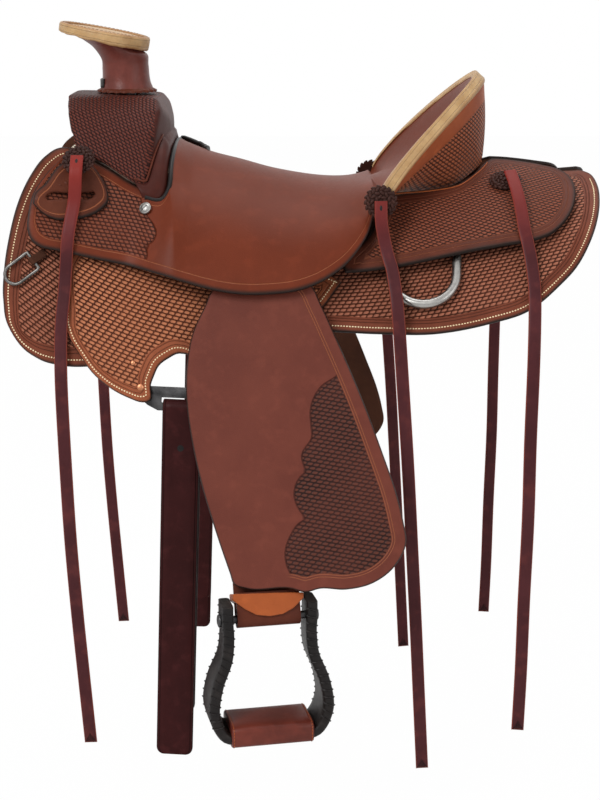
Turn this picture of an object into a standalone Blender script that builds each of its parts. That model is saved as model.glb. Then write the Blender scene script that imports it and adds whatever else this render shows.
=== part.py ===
# Ranch saddle, built round its wooden tree. Metres, +Z up, horse's head towards -X,
# near (left) side towards -Y. The origin is on the centre plane, at the horse's spine.

import math

import bmesh
import bpy
from mathutils import Matrix, Vector
from mathutils.geometry import delaunay_2d_cdt, intersect_point_line

NEAR = -1
OFF = 1
SIDES = ((NEAR, "near"), (OFF, "off"))

# The horse's back under the saddle: where its stations lie, how high its two sides would
# meet, how steep each side starts and how fast it turns down, at front, middle and rear.
FRONT_X = -0.33
REAR_X = 0.33
SPINE_Z = 0.022
WITHERS_RISE = 0.223
CROUP_RISE = 0.018
SIDE_SLOPES = (50.0, 30.0, 10.0)
SIDE_CURLS = (1.3, 2.2, 4.0)
LEAST_COS = -0.2

# Leather, wood and wool, from the horse outwards.
PLY_GAP = 0.0008
FLEECE_THICK = 0.011
SKIRT_THICK = 0.005
RIGGING_THICK = 0.0045
BAR_THICK = 0.0105
GROUND_SEAT_THICK = 0.004
SEAT_THICK = 0.005
JOCKEY_THICK = 0.0045
FENDER_THICK = 0.0045
STRAP_THICK = 0.0045
KEEPER_THICK = 0.004
COVER_THICK = 0.004
CANTLE_BACK_THICK = 0.004
BINDING_THICK = 0.004
BINDING_WIDTH = 0.022
STRING_THICK = 0.003
STRING_WIDTH = 0.015
GRID = 0.028
GRID_CLEAR = 0.45

# Lifts of each ply's inner face above the skirt's inner face.
OVER_SKIRT = SKIRT_THICK + PLY_GAP
OVER_BAR = OVER_SKIRT + BAR_THICK + PLY_GAP
LOBE_LIFT = OVER_BAR + SEAT_THICK + 0.003
FENDER_LIFT = 0.046
JOCKEY_OVER_DEE = OVER_BAR + 0.0027
JOCKEY_EDGE_LIFT = OVER_SKIRT + 0.004
KEEPER_LIFT = LOBE_LIFT + 2 * PLY_GAP

# The hanging plane of fender and stirrup leather. Its origin is the fender's swing axis.
HANG_TILT = math.radians(20.0)
HANG_X = -0.030
HANG_Y = 0.1774
HANG_Z = -0.072
SWING_GAP = 0.0005
BOSS_RADIUS = 0.0197
BOSS_DEPTH = 0.045
BOSS_LIFT = OVER_SKIRT + 0.0055
HOOK_DEPTH = 0.018
HOOK_WALL = 0.005
HOOK_ANGLE = math.radians(50.0)
LEATHER_WIDTH = 0.072
LEATHER_X = -0.036

# Foot of the leather: it turns about the upright, then loops round the stirrup's bolt.
TWIST = math.radians(12.0)
TWIST_TOP = 0.230
TWIST_FOOT = 0.330
BOLT_DROP = 0.3765
BOLT_OFF = -0.0120
BOLT_RADIUS = 0.0045
BOLT_HEAD_RADIUS = 0.0075
BOLT_HEAD_THICK = 0.003
BOLT_GAP = 0.0006
LOOP_RADIUS = 0.0075
LOOP_HEIGHT = 0.029
KEEPER_BAND = 0.003
KEEPER_GAP = 0.0006

# Stirrup, measured from its bolt.
LEG_THICK = 0.0095
LEG_TOP_DEPTH = 0.036
LEG_FOOT_DEPTH = 0.056
LEG_CHAMFER = 0.0025
STIRRUP_DROP = 0.1345
LEG_PATH = (
    (0.0478, 0.020), (0.0478, 0.0), (0.0470, -0.016), (0.0496, -0.042), (0.0600, -0.069),
    (0.0650, -0.093), (0.0645, -0.108), (0.0585, -0.124), (0.0480, -0.1335),
    (0.0240, -STIRRUP_DROP), (0.0, -STIRRUP_DROP),
)
TREAD_HALF_LENGTH = 0.0470
TREAD_TOP = -0.117
TREAD_FOOT = -0.1445
TREAD_DEPTH = 0.062
TREAD_GAP = 0.0005

# Fork and horn.
HORN_X = -0.209
CORE_RADIUS = 0.011
CORE_FOOT_Z = 0.095
CORE_TOP_Z = 0.187
CORE_GAP = 0.0005
WRAP_FOOT_Z = 0.1362
CAP_X = -0.235
CAP_Z = 0.2005
CAP_RADIUS = 0.0485
CAP_THICK = 0.009
CAP_TILT = math.radians(10.5)
CAP_BAND = 0.015
CAP_BAND_THICK = 0.0065

# Cantle rim: a tilted arch.
RIM_FOOT_X = 0.094
RIM_FOOT_Z = 0.030
RIM_HALF_WIDTH = 0.139
RIM_RISE = 0.130
RIM_LAYBACK = 0.118

# Back of the cantle: how far it swells, and how low its foot tucks behind the jockey's edge.
CANTLE_BULGE = 0.003
CANTLE_FOOT_LIFT = 0.0130

# How full the seat's ribs are between edge and crest, as a share of their chord.
RIB_FULLNESS = 0.42

# Rings, plates and studs.
REAR_DEE_WIRE = 0.0055
REAR_DEE_BAR = 0.0035
REAR_DEE_RADIUS = 0.038
FRONT_DEE_WIRE = 0.0024
FRONT_DEE_RADIUS = 0.0115
FRONT_DEE_LENGTH = 0.026
LOOP_GAP = 0.0005
DEE_STRAP_THICK = 0.0025
DEE_STRAP_WIDTH = 0.034
TAB_WIDTH = 0.009
TAB_THICK = 0.0015
PLATE_THICK = 0.003
PLATE_LIFT = 0.0018
PLATE_X = -0.134
PLATE_SLOT_TOP = -0.2000
PLATE_BAR_TOP = -0.2055
PLATE_FOOT = -0.2145
SLOT_HALF_LENGTH = 0.024
PLATE_ROLL = 0.035
ROSETTE_RADIUS = 0.0205
ROSETTE_THICK = 0.007
CONCHO_RADIUS = 0.0072
CONCHO_THICK = 0.004
LATIGO_WIDTH = 0.043
LATIGO_THICK = 0.004
LATIGO_LOOP = 0.008
LATIGO_AXIS_DROP = 0.0055
LATIGO_LONG = 0.423
LATIGO_SHORT = 0.374

# Outlines seen from the side: x, then height on the horse's back.
SKIRT_OUTLINE = (
    (-0.253, 0.070), (-0.279, 0.074), (-0.296, 0.065), (-0.312, 0.044), (-0.326, 0.012),
    (-0.334, -0.020), (-0.340, -0.059), (-0.341, -0.093), (-0.336, -0.121), (-0.322, -0.143),
    (-0.301, -0.158), (-0.275, -0.165), (-0.229, -0.165), (-0.194, -0.162), (-0.114, -0.142),
    (-0.046, -0.131), (0.024, -0.128), (0.091, -0.130), (0.156, -0.129), (0.219, -0.117),
    (0.260, -0.104), (0.299, -0.075), (0.316, -0.059), (0.335, -0.032), (0.347, -0.008),
    (0.353, 0.011), (0.354, 0.026), (0.350, 0.034), (0.341, 0.037), (0.300, 0.034),
    (0.254, 0.026), (0.121, 0.004), (0.0, 0.000), (-0.100, 0.019), (-0.180, 0.051),
)
RIGGING_OUTLINE = (
    (-0.262, -0.030), (-0.272, -0.044), (-0.271, -0.098), (-0.270, -0.118), (-0.263, -0.136),
    (-0.252, -0.153), (-0.238, -0.172), (-0.219, -0.188), (-0.196, -0.200), (-0.179, -0.205),
    (-0.171, -0.203), (-0.170, -0.185), (-0.167, -0.177), (-0.161, -0.165), (-0.150, -0.157),
    (-0.138, -0.152), (-0.129, -0.153), (-0.120, -0.163), (-0.108, -0.176), (-0.092, -0.172),
    (-0.060, -0.151), (-0.020, -0.131), (0.018, -0.112), (0.048, -0.079), (0.040, -0.074),
    (0.0, -0.073), (-0.100, -0.073), (-0.160, -0.050), (-0.200, -0.036),
)
BAR_OUTLINE = (
    (-0.262, 0.048), (-0.255, 0.010), (-0.230, -0.015), (-0.150, -0.042), (-0.080, -0.066),
    (0.035, -0.068), (0.080, -0.045), (0.150, -0.022), (0.230, -0.012), (0.262, 0.001),
    (0.255, 0.018), (0.207, 0.010), (0.151, 0.000), (0.125, -0.006), (0.085, -0.014),
    (0.030, -0.017), (-0.040, -0.009), (-0.080, -0.002), (-0.150, 0.026), (-0.180, 0.054),
    (-0.230, 0.074),
)
REAR_JOCKEY_OUTLINE = (
    (0.101, -0.003), (0.119, -0.001), (0.151, 0.002), (0.184, 0.008), (0.208, 0.019),
    (0.222, 0.028), (0.232, 0.032), (0.255, 0.0325), (0.290, 0.0325), (0.310, 0.031),
    (0.321, 0.026), (0.325, 0.016), (0.322, 0.005), (0.317, -0.004), (0.307, -0.015),
    (0.291, -0.027), (0.271, -0.035), (0.235, -0.043), (0.174, -0.055), (0.112, -0.065),
    (0.092, -0.062), (0.089, -0.032),
)
KEEPER_OUTLINE = (
    (-0.277, 0.044), (-0.290, 0.028), (-0.303, 0.015), (-0.304, 0.007), (-0.294, -0.003),
    (-0.278, -0.011), (-0.262, -0.012), (-0.243, -0.010), (-0.228, -0.004), (-0.220, 0.006),
    (-0.221, 0.014), (-0.228, 0.028), (-0.236, 0.039), (-0.256, 0.051),
)
KEEPER_SLOT = ((-0.290, 0.0155), (-0.290, 0.0095), (-0.235, 0.0095), (-0.235, 0.0155))
PLATE_OUTLINE = (
    (-0.196, -0.176), (-0.191, -0.195), (-0.174, -0.209), (-0.162, PLATE_FOOT),
    (-0.112, PLATE_FOOT), (-0.100, -0.204), (-0.096, -0.187), (-0.099, -0.176),
    (-0.110, -0.176), (-0.116, -0.188), (-0.176, -0.188), (-0.184, -0.176),
)
# Rear end of the region cut away under the fork, and the fork's own views.
FORK_SIDE = (
    (-0.258, 0.055), (-0.2635, 0.079), (-0.2765, 0.134), (-0.169, 0.1305),
    (-0.157, 0.110), (-0.151, 0.093), (-0.1525, 0.058), (-0.1545, 0.030),
)
FORK_BASE = (
    (-0.300, 0.096), (-0.2635, 0.0765), (-0.250, 0.0680), (-0.225, 0.0565), (-0.200, 0.0410),
    (-0.178, 0.0297), (-0.163, 0.0358), (-0.155, 0.0425), (-0.1525, 0.058), (-0.145, 0.058),
)
FORK_FRONT = (
    (0.0, 0.135), (0.030, 0.1345), (0.055, 0.131), (0.080, 0.118), (0.098, 0.098),
    (0.110, 0.075), (0.122, 0.050), (0.136, 0.020), (0.150, -0.010),
)
GULLET = (
    (0.0, 0.078), (0.030, 0.074), (0.055, 0.055), (0.070, 0.030), (0.085, 0.0), (0.100, -0.030),
)
UNDER_FORK = (
    (-0.300, -0.050), (-0.130, -0.050), (-0.130, 0.030), (-0.160, 0.050), (-0.200, 0.068),
    (-0.250, 0.082), (-0.300, 0.084),
)
BEHIND_BOSS = ((-0.080, -0.140), (0.020, -0.140), (0.020, -0.005), (-0.080, -0.005))
# Plan of the fork: its rear face slants forward towards each side.
FORK_PLAN = (
    (-0.310, 0.0), (-0.310, 0.200), (-0.195, 0.200), (-0.183, 0.140), (-0.174, 0.118),
    (-0.1655, 0.090), (-0.159, 0.060), (-0.1545, 0.030), (-0.1530, 0.0),
)

# Fender outline: x, then drop down the hanging plane.
FENDER_OUTLINE = (
    (-0.103, 0.012), (-0.106, 0.020), (-0.122, 0.057), (-0.129, 0.105), (-0.127, 0.148),
    (-0.123, 0.174), (-0.112, 0.224), (-0.095, 0.280), (-0.078, 0.329), (-0.074, 0.340),
    (-0.060, 0.345), (-0.010, 0.345), (0.006, 0.349), (0.022, 0.345), (0.051, 0.346),
    (0.081, 0.339), (0.107, 0.319), (0.119, 0.294), (0.116, 0.270), (0.110, 0.244),
    (0.092, 0.190), (0.071, 0.133), (0.038, 0.055), (0.024, 0.024), (0.010, -0.002),
    (-0.012, -0.012), (-0.050, -0.013), (-0.080, -0.008),
)
# Hobble strap: x from its middle, then height above the stirrup's bolt.
HOBBLE_OUTLINE = (
    (-0.0402, 0.0285), (-0.020, 0.0277), (0.0, 0.0271), (0.020, 0.0262), (0.0402, 0.0250),
    (0.0402, 0.0190), (0.028, 0.0085), (0.015, 0.0025), (0.0, 0.0010), (-0.015, 0.0035),
    (-0.028, 0.0110), (-0.0402, 0.0210),
)

# Lower edge of the seat leather, from the front lobe's top to the cantle's foot.
LOBE_EDGE = (
    (-0.274, 0.054), (-0.291, 0.038), (-0.305, 0.018), (-0.310, -0.006), (-0.310, -0.020),
    (-0.305, -0.031), (-0.294, -0.038), (-0.278, -0.042), (-0.262, -0.046), (-0.230, -0.054),
    (-0.199, -0.061), (-0.178, -0.069),
)
FLANK_EDGE = ((-0.178, -0.069), (-0.167, -0.074), (-0.152, -0.080), (-0.138, -0.085))
SEAT_EDGE = (
    (-0.138, -0.085), (-0.111, -0.093), (-0.084, -0.099), (-0.058, -0.102), (-0.032, -0.102),
    (-0.006, -0.100), (0.021, -0.093), (0.047, -0.080), (0.064, -0.066), (0.077, -0.050),
    (0.083, -0.036), (0.087, -0.023),
)
# Where the seat leather meets the fork, and its crest line back to the cantle.
FORK_FOOT = ((-0.266, 0.060), (-0.250, 0.052), (-0.225, 0.040), (-0.200, 0.024), (-0.178, 0.010))
FORK_HEEL = (
    (-0.178, 0.134, 0.024), (-0.163, 0.130, 0.031), (-0.153, 0.120, 0.039),
    (-0.1495, 0.098, 0.058), (-0.1485, 0.062, 0.072), (-0.1485, 0.0, 0.077),
)
CREST = (
    (-0.1485, 0.077), (-0.110, 0.062), (-0.072, 0.052), (-0.034, 0.0415), (0.012, 0.0330),
    (0.050, 0.0300), (0.085, 0.0320),
)
DISH_LINE = ((0.085, 0.0320), (0.120, 0.042), (0.150, 0.064), (0.178, 0.100), (0.200, 0.141))
CANTLE_FOOT = (
    (0.104, 0.007), (0.119, 0.008), (0.151, 0.010), (0.184, 0.015), (0.207, 0.026),
    (0.217, 0.032), (0.222, 0.036),
)

# Saddle strings: x, y and z over the rosette, then x, height on the back and lift where
# they lie on leather, then x, y and z where they hang free.
STRINGS = {
    "front": (
        ((-0.2540, 0.1449, 0.0707), (-0.2545, 0.1596, 0.0517)),
        ((-0.257, 0.006, 0.0365), (-0.261, -0.015, 0.0340), (-0.264, -0.034, 0.0325),
         (-0.267, -0.060, 0.0190), (-0.269, -0.086, 0.0150), (-0.272, -0.116, 0.0145),
         (-0.273, -0.148, 0.0140)),
        ((-0.272, 0.205, -0.193), (-0.270, 0.205, -0.280), (-0.267, 0.205, -0.368),
         (-0.262, 0.205, -0.455), (-0.256, 0.205, -0.540), (-0.250, 0.205, -0.622)),
    ),
    "middle": (
        ((0.0925, 0.1525, 0.0200), (0.0930, 0.1572, -0.0030)),
        ((0.097, -0.0540, 0.0425), (0.101, -0.0650, 0.0345), (0.105, -0.075, 0.0320),
         (0.109, -0.097, 0.0300), (0.112, -0.122, 0.0230)),
        ((0.118, 0.200, -0.190), (0.125, 0.200, -0.285), (0.131, 0.200, -0.382),
         (0.137, 0.200, -0.481), (0.142, 0.200, -0.570), (0.147, 0.200, -0.658)),
    ),
    "rear": (
        (),
        ((0.248, 0.013, 0.0368), (0.251, 0.004, 0.0362), (0.255, -0.011, 0.0328),
         (0.259, -0.035, 0.0260), (0.263, -0.047, 0.0190), (0.267, -0.069, 0.0110),
         (0.268, -0.094, 0.0090)),
        ((0.266, 0.203, -0.154), (0.265, 0.203, -0.249), (0.265, 0.203, -0.345),
         (0.263, 0.203, -0.443), (0.262, 0.203, -0.531), (0.260, 0.203, -0.607)),
    ),
}
# Rosettes and concho on the near side: middle of the inner face, and the way it faces.
ROSETTES = {
    "front": ((-0.253, -0.1362, 0.0642), (-0.10, -0.80, 0.60)),
    "middle": ((0.0925, -0.1425, 0.0180), (0.0, -0.98, 0.20)),
    "rear": ((0.2428, -0.0706, 0.0333), (-0.080, -0.456, 0.886)),
}
CONCHO = ((-0.1773, -0.1436, 0.0104), (-0.277, -0.794, 0.541))

collection = None
cutters = None


def start_scene():
    global collection, cutters
    for old in list(bpy.data.objects):
        bpy.data.objects.remove(old, do_unlink=True)
    collection = bpy.data.collections.new("ranch_saddle")
    cutters = bpy.data.collections.new("cutters")
    bpy.context.scene.collection.children.link(collection)
    bpy.context.scene.collection.children.link(cutters)


def material(name, colour, roughness, metallic=0.0):
    made = bpy.data.materials.new(name)
    made.use_nodes = True
    shader = made.node_tree.nodes["Principled BSDF"]
    shader.inputs["Base Color"].default_value = (*colour, 1.0)
    shader.inputs["Roughness"].default_value = roughness
    shader.inputs["Metallic"].default_value = metallic
    made.diffuse_color = (*colour, 1.0)
    return made


def blend(start, end, value):
    """Smooth 0 to 1 as value goes from start to end."""
    t = min(1.0, max(0.0, (value - start) / (end - start)))
    return t * t * (3 - 2 * t)


def through_three(values, t):
    first, middle, last = values
    return first * (1 - t) * (1 - 2 * t) + middle * 4 * t * (1 - t) + last * t * (2 * t - 1)


def ridge_height(t):
    return SPINE_Z + WITHERS_RISE * max(0.0, 1 - t) ** 3 + CROUP_RISE * max(0.0, t) ** 3


def side_angle(x, z):
    """How far the outward normal of the horse's side leans from straight up."""
    t = (x - FRONT_X) / (REAR_X - FRONT_X)
    ridge = ridge_height(t)
    slope = math.radians(through_three(SIDE_SLOPES, t))
    curl = through_three(SIDE_CURLS, t)
    turned = math.cos(slope) + curl * (z - ridge)
    turned = max(LEAST_COS, min(math.cos(slope), turned))
    angle = math.acos(turned)
    return angle, (math.sin(angle) - math.sin(slope)) / curl


def arc_of(x, z):
    """How far down the horse's side a height lies, from where the sides would meet."""
    t = (x - FRONT_X) / (REAR_X - FRONT_X)
    angle, _ = side_angle(x, z)
    return (angle - math.radians(through_three(SIDE_SLOPES, t))) / through_three(SIDE_CURLS, t)


def height_at(x, arc):
    t = (x - FRONT_X) / (REAR_X - FRONT_X)
    slope = math.radians(through_three(SIDE_SLOPES, t))
    curl = through_three(SIDE_CURLS, t)
    return ridge_height(t) + (math.cos(slope + curl * arc) - math.cos(slope)) / curl


def on_back(x, z, lift, side):
    """The point a lift off the horse's back, above its point at x and z."""
    angle, reach = side_angle(x, z)
    return Vector((x, side * (reach + lift * math.sin(angle)), z + lift * math.cos(angle)))


def back_normal(x, z, side):
    angle, _ = side_angle(x, z)
    return Vector((0.0, side * math.sin(angle), math.cos(angle)))


def hung(x, drop, off, side):
    """A point on the hanging plane: down it from the pivot, and off it outwards."""
    return Vector((
        x,
        side * (HANG_Y + drop * math.sin(HANG_TILT) + off * math.cos(HANG_TILT)),
        HANG_Z - drop * math.cos(HANG_TILT) + off * math.sin(HANG_TILT),
    ))


def frame(origin, along, ahead):
    """A flat frame: places a point along, ahead and out of it, as seen from its own side."""
    along = along.normalized()
    ahead = (ahead - ahead.dot(along) * along).normalized()
    out = along.cross(ahead).normalized()
    if out.y * origin.y < 0:
        out = -out
    return lambda u, v, w=0.0: origin + along * u + ahead * v + out * w


def smooth(points, count):
    """Count points at even steps along a smooth curve through the given ones."""
    points = [Vector(p) for p in points]
    ends = [2 * points[0] - points[1]] + points + [2 * points[-1] - points[-2]]
    fine = []
    steps = 12
    for i in range(len(points) - 1):
        a, b, c, d = ends[i:i + 4]
        for j in range(steps):
            t = j / steps
            fine.append(0.5 * (
                2 * b + (c - a) * t + (2 * a - 5 * b + 4 * c - d) * t * t
                + (3 * b - a - 3 * c + d) * t ** 3
            ))
    fine.append(points[-1])
    far = [0.0]
    for a, b in zip(fine, fine[1:]):
        far.append(far[-1] + (b - a).length)
    out = []
    at = 0
    for i in range(count):
        want = far[-1] * i / (count - 1)
        while at < len(far) - 2 and far[at + 1] < want:
            at += 1
        span = far[at + 1] - far[at] or 1.0
        out.append(fine[at].lerp(fine[at + 1], min(1.0, (want - far[at]) / span)))
    return out


def add_object(name, bm, look, into=None):
    mesh = bpy.data.meshes.new(name)
    bm.to_mesh(mesh)
    bm.free()
    made = bpy.data.objects.new(name, mesh)
    (into or collection).objects.link(made)
    if look:
        mesh.materials.append(look)
    if into is cutters:
        made.hide_render = True
        made.display_type = "WIRE"
    return made


def shade_round(made, degrees=40):
    made.data.shade_smooth()
    made.data.set_sharp_from_angle(angle=math.radians(degrees))


def thicken(made, thick, towards=1.0):
    shell = made.modifiers.new("thickness", "SOLIDIFY")
    shell.thickness = thick
    shell.offset = towards
    return shell


def inside(point, outline):
    """True where a flat point lies inside an outline."""
    found = False
    for a, b in zip(outline, outline[1:] + outline[:1]):
        if (a[1] > point[1]) != (b[1] > point[1]):
            if point[0] < a[0] + (point[1] - a[1]) * (b[0] - a[0]) / (b[1] - a[1]):
                found = not found
    return found


def clear_of(point, outline, gap):
    """True where a flat point keeps a gap from every edge of an outline."""
    spot = Vector(point)
    for a, b in zip(outline, outline[1:] + outline[:1]):
        share = intersect_point_line(spot, Vector(a), Vector(b))[1]
        nearest = Vector(a).lerp(Vector(b), min(1.0, max(0.0, share)))
        if (spot - nearest).length < gap:
            return False
    return True


def flat_face(outline):
    """A flat sheet of triangles in x and arc length, fine enough that it can bend."""
    edge = []
    for a, b in zip(outline, outline[1:] + outline[:1]):
        steps = max(1, math.ceil((Vector(b) - Vector(a)).length / GRID))
        edge += [tuple(Vector(a).lerp(Vector(b), i / steps)) for i in range(steps)]
    points = list(edge)
    low = [math.floor(min(p[axis] for p in edge) / GRID) for axis in (0, 1)]
    high = [math.ceil(max(p[axis] for p in edge) / GRID) for axis in (0, 1)]
    for i in range(low[0], high[0] + 1):
        for j in range(low[1], high[1] + 1):
            point = ((i + 0.5 * (j % 2)) * GRID, j * GRID)
            if inside(point, edge) and clear_of(point, edge, GRID * GRID_CLEAR):
                points.append(point)
    made = delaunay_2d_cdt(
        [Vector(p) for p in points],
        [(i, (i + 1) % len(edge)) for i in range(len(edge))], [], 1, 1e-6,
    )
    bm = bmesh.new()
    verts = [bm.verts.new((p[0], p[1], 0.0)) for p in made[0]]
    for face in made[2]:
        bm.faces.new([verts[i] for i in face])
    return bm


def sheet(name, outline, thick, look, side, lift, into=None):
    """Leather laid over the horse's back: lift gives its inner face at x and z."""
    bm = flat_face([(x, arc_of(x, z)) for x, z in outline])
    drawn = bmesh.ops.extrude_face_region(bm, geom=bm.faces[:])["geom"]
    outer = {item for item in drawn if isinstance(item, bmesh.types.BMVert)}
    for vert in bm.verts:
        x = vert.co.x
        z = height_at(x, vert.co.y)
        vert.co = on_back(x, z, lift(x, z) + (thick if vert in outer else 0.0), side)
    bmesh.ops.recalc_face_normals(bm, faces=bm.faces[:])
    return add_object(name, bm, look, into)


def slab(name, outline, low, high, place, look, into=None):
    """A plate between two distances out of a flat frame."""
    bm = bmesh.new()
    rings = [[bm.verts.new(place(u, v, off)) for u, v in outline] for off in (low, high)]
    bm.faces.new(rings[0])
    bm.faces.new(rings[1][::-1])
    for i in range(len(outline)):
        j = (i + 1) % len(outline)
        bm.faces.new((rings[0][i], rings[1][i], rings[1][j], rings[0][j]))
    bmesh.ops.recalc_face_normals(bm, faces=bm.faces[:])
    return add_object(name, bm, look, into)


def loft(name, rings, look, into=None, closed=False):
    """A skin over rings of points, with its ends capped unless it closes on itself."""
    bm = bmesh.new()
    made = [[bm.verts.new(p) for p in ring] for ring in rings]
    count = len(rings[0])
    pairs = list(zip(made, made[1:] + made[:1])) if closed else list(zip(made, made[1:]))
    for a, b in pairs:
        for i in range(count):
            j = (i + 1) % count
            bm.faces.new((a[i], a[j], b[j], b[i]))
    if not closed:
        bm.faces.new(made[0])
        bm.faces.new(made[-1][::-1])
    bmesh.ops.recalc_face_normals(bm, faces=bm.faces[:])
    return add_object(name, bm, look, into)


def skin(name, rows, look, flip=False):
    """An open surface through rows of points with y above 0, mirrored to both sides."""
    bm = bmesh.new()
    for sign in (-1, 1):
        made = [[bm.verts.new((p[0], sign * p[1], p[2])) for p in row] for row in rows]
        for a, b in zip(made, made[1:]):
            for i in range(len(a) - 1):
                quad = (a[i], b[i], b[i + 1], a[i + 1])
                bm.faces.new(quad if (sign < 0) != flip else quad[::-1])
    bmesh.ops.remove_doubles(bm, verts=bm.verts[:], dist=1e-5)
    bmesh.ops.dissolve_degenerate(bm, edges=bm.edges[:], dist=1e-5)
    return add_object(name, bm, look)


def prism(name, outline, low, high, axis, look=None, into=None):
    """A prism along x with its outline in y and z, or along y with it in x and z."""
    def place(u, v, w):
        return Vector((w, u, v)) if axis == "x" else Vector((u, w, v))
    return slab(name, outline, low, high, place, look, into)


def rod(name, start, end, radius, look=None, into=None, sides=20):
    """A round bar between two points."""
    along = (end - start).normalized()
    wide = along.orthogonal().normalized()
    deep = along.cross(wide)
    rings = []
    for point in (start, end):
        turns = [2 * math.pi * i / sides for i in range(sides)]
        rings.append([point + (wide * math.cos(t) + deep * math.sin(t)) * radius for t in turns])
    return loft(name, rings, look, into)


def boolean(made, other, operation="DIFFERENCE"):
    step = made.modifiers.new(operation.lower(), "BOOLEAN")
    step.operation = operation
    step.solver = "EXACT"
    step.object = other


def turned(name, profile, place, look, steps=20):
    """A profile of radius and height, turned about its own z and placed by a matrix."""
    bm = bmesh.new()
    verts = [bm.verts.new((r, 0.0, z)) for r, z in profile]
    for a, b in zip(verts, verts[1:]):
        bm.edges.new((a, b))
    made = add_object(name, bm, look)
    screw = made.modifiers.new("turn", "SCREW")
    screw.steps = steps
    screw.render_steps = steps
    screw.use_merge_vertices = True
    screw.merge_threshold = 0.00001
    screw.use_smooth_shade = True
    screw.use_normal_flip = True
    made.matrix_world = place
    return made


def disc_profile(radius, thick, edge):
    """A round disc with a soft upper edge, from its bottom centre to its top centre."""
    return ((0.0, 0.0), (radius, 0.0), (radius, thick - edge), (radius - edge, thick), (0.0, thick))


def facing(point, normal):
    turn = Vector((0.0, 0.0, 1.0)).rotation_difference(normal).to_matrix().to_4x4()
    return Matrix.Translation(point) @ turn


def stud_place(spot, side):
    """Where a stud that is given for the near side lies on a side."""
    point, way = (Vector((v[0], -side * v[1], v[2])) for v in spot)
    return facing(point, way.normalized())


def wire(name, points, radii, look):
    """A closed ring of wire whose radius may change along it."""
    curve = bpy.data.curves.new(name, "CURVE")
    curve.dimensions = "3D"
    curve.bevel_depth = 1.0
    curve.bevel_resolution = 2
    line = curve.splines.new("POLY")
    line.points.add(len(points) - 1)
    for spot, point, radius in zip(line.points, points, radii):
        spot.co = (*point, 1.0)
        spot.radius = radius
    line.use_cyclic_u = True
    curve.materials.append(look)
    made = bpy.data.objects.new(name, curve)
    collection.objects.link(made)
    return made


def strap(name, path, across, width, thick, look, into=None):
    """A flat strap along a path; across and width may change from point to point."""
    rings = []
    for i, point in enumerate(path):
        ahead = (path[min(i + 1, len(path) - 1)] - path[max(i - 1, 0)]).normalized()
        wide = across[i] if isinstance(across, list) else across
        wide = (wide - wide.dot(ahead) * ahead).normalized()
        up = wide.cross(ahead)
        a = wide * (width[i] if isinstance(width, list) else width) / 2
        b = up * thick / 2
        rings.append([point + a + b, point - a + b, point - a - b, point + a - b])
    return loft(name, rings, look, into)


# Looks, from the photograph's colours.
def make_looks():
    return {
        "seat": material("seat_leather_brown", (0.170, 0.045, 0.026), 0.38),
        "dark": material("stamped_dark_brown", (0.085, 0.024, 0.016), 0.5),
        "tan": material("stamped_orange_brown", (0.270, 0.080, 0.036), 0.5),
        "fender": material("fender_brown", (0.125, 0.034, 0.021), 0.42),
        "rawhide": material("rawhide_cream", (0.740, 0.540, 0.270), 0.5),
        "wood": material("tree_wood", (0.520, 0.380, 0.220), 0.6),
        "fleece": material("woolskin", (0.780, 0.700, 0.560), 0.9),
        "latigo": material("latigo_burgundy", (0.060, 0.014, 0.016), 0.45),
        "string": material("string_burgundy", (0.170, 0.026, 0.030), 0.45),
        "hobble": material("hobble_orange", (0.500, 0.140, 0.040), 0.4),
        "black": material("black_leather", (0.018, 0.015, 0.014), 0.4),
        "tread": material("tread_brown", (0.120, 0.026, 0.018), 0.45),
        "steel": material("stainless_steel", (0.560, 0.560, 0.570), 0.25, 1.0),
        "iron": material("blued_steel", (0.090, 0.090, 0.095), 0.35, 1.0),
    }


def fender_zone(x):
    """One where the fender passes under the seat leather's edge, nought away from it."""
    return blend(-0.205, -0.140, x) * (1 - blend(0.078, 0.112, x))


def seat_lift(x):
    return LOBE_LIFT + (FENDER_LIFT - LOBE_LIFT) * fender_zone(x)


def jockey_lift(x, z):
    """The rear jockey lies over bar and dee, and comes down on the skirt at its rear edge."""
    low = blend(-0.022, -0.044, z) * blend(0.195, 0.235, x)
    rear = blend(0.266, 0.304, x)
    return JOCKEY_OVER_DEE + (JOCKEY_EDGE_LIFT - JOCKEY_OVER_DEE) * max(low, rear)


def rim_point(turn, inset, across=0.0):
    """The cantle rim at an angle from its top, inset from the binding's face, across its band."""
    c = max(0.0, math.cos(turn))
    x = RIM_FOOT_X + RIM_LAYBACK * c ** 1.6
    y = (RIM_HALF_WIDTH - inset) * math.sin(turn)
    z = RIM_FOOT_Z + (RIM_RISE - inset) * c ** 1.3
    return Vector((x + 0.76 * across, y, z - 0.65 * across))


def rib(start, start_normal, end, end_normal, inset, first, last, rows):
    """Points of a full curve from an edge to a crest, held under the surface by an inset."""
    chord = end - start
    start_way = (chord - chord.dot(start_normal) * start_normal) * RIB_FULLNESS
    end_way = (chord - chord.dot(end_normal) * end_normal) * RIB_FULLNESS
    out = []
    for i in range(rows + 1):
        t = first + (last - first) * i / rows
        p = (
            start * (1 - t) ** 3 + (start + start_way) * 3 * t * (1 - t) ** 2
            + (end - end_way) * 3 * t * t * (1 - t) + end * t ** 3
        )
        normal = start_normal.lerp(end_normal, t).normalized()
        out.append(p - normal * inset)
    return out


def edge_points(points, count):
    """Points and normals of the seat leather's edge, of the half with y above 0."""
    out = []
    plane = Vector((0.0, math.cos(HANG_TILT), math.sin(HANG_TILT)))
    for p in smooth([(x, 0.0, z) for x, z in points], count):
        normal = back_normal(p.x, p.z, OFF)
        place = on_back(p.x, p.z, seat_lift(p.x), OFF)
        out.append((place, normal.lerp(plane, 0.8 * fender_zone(p.x)).normalized()))
    return out


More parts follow.
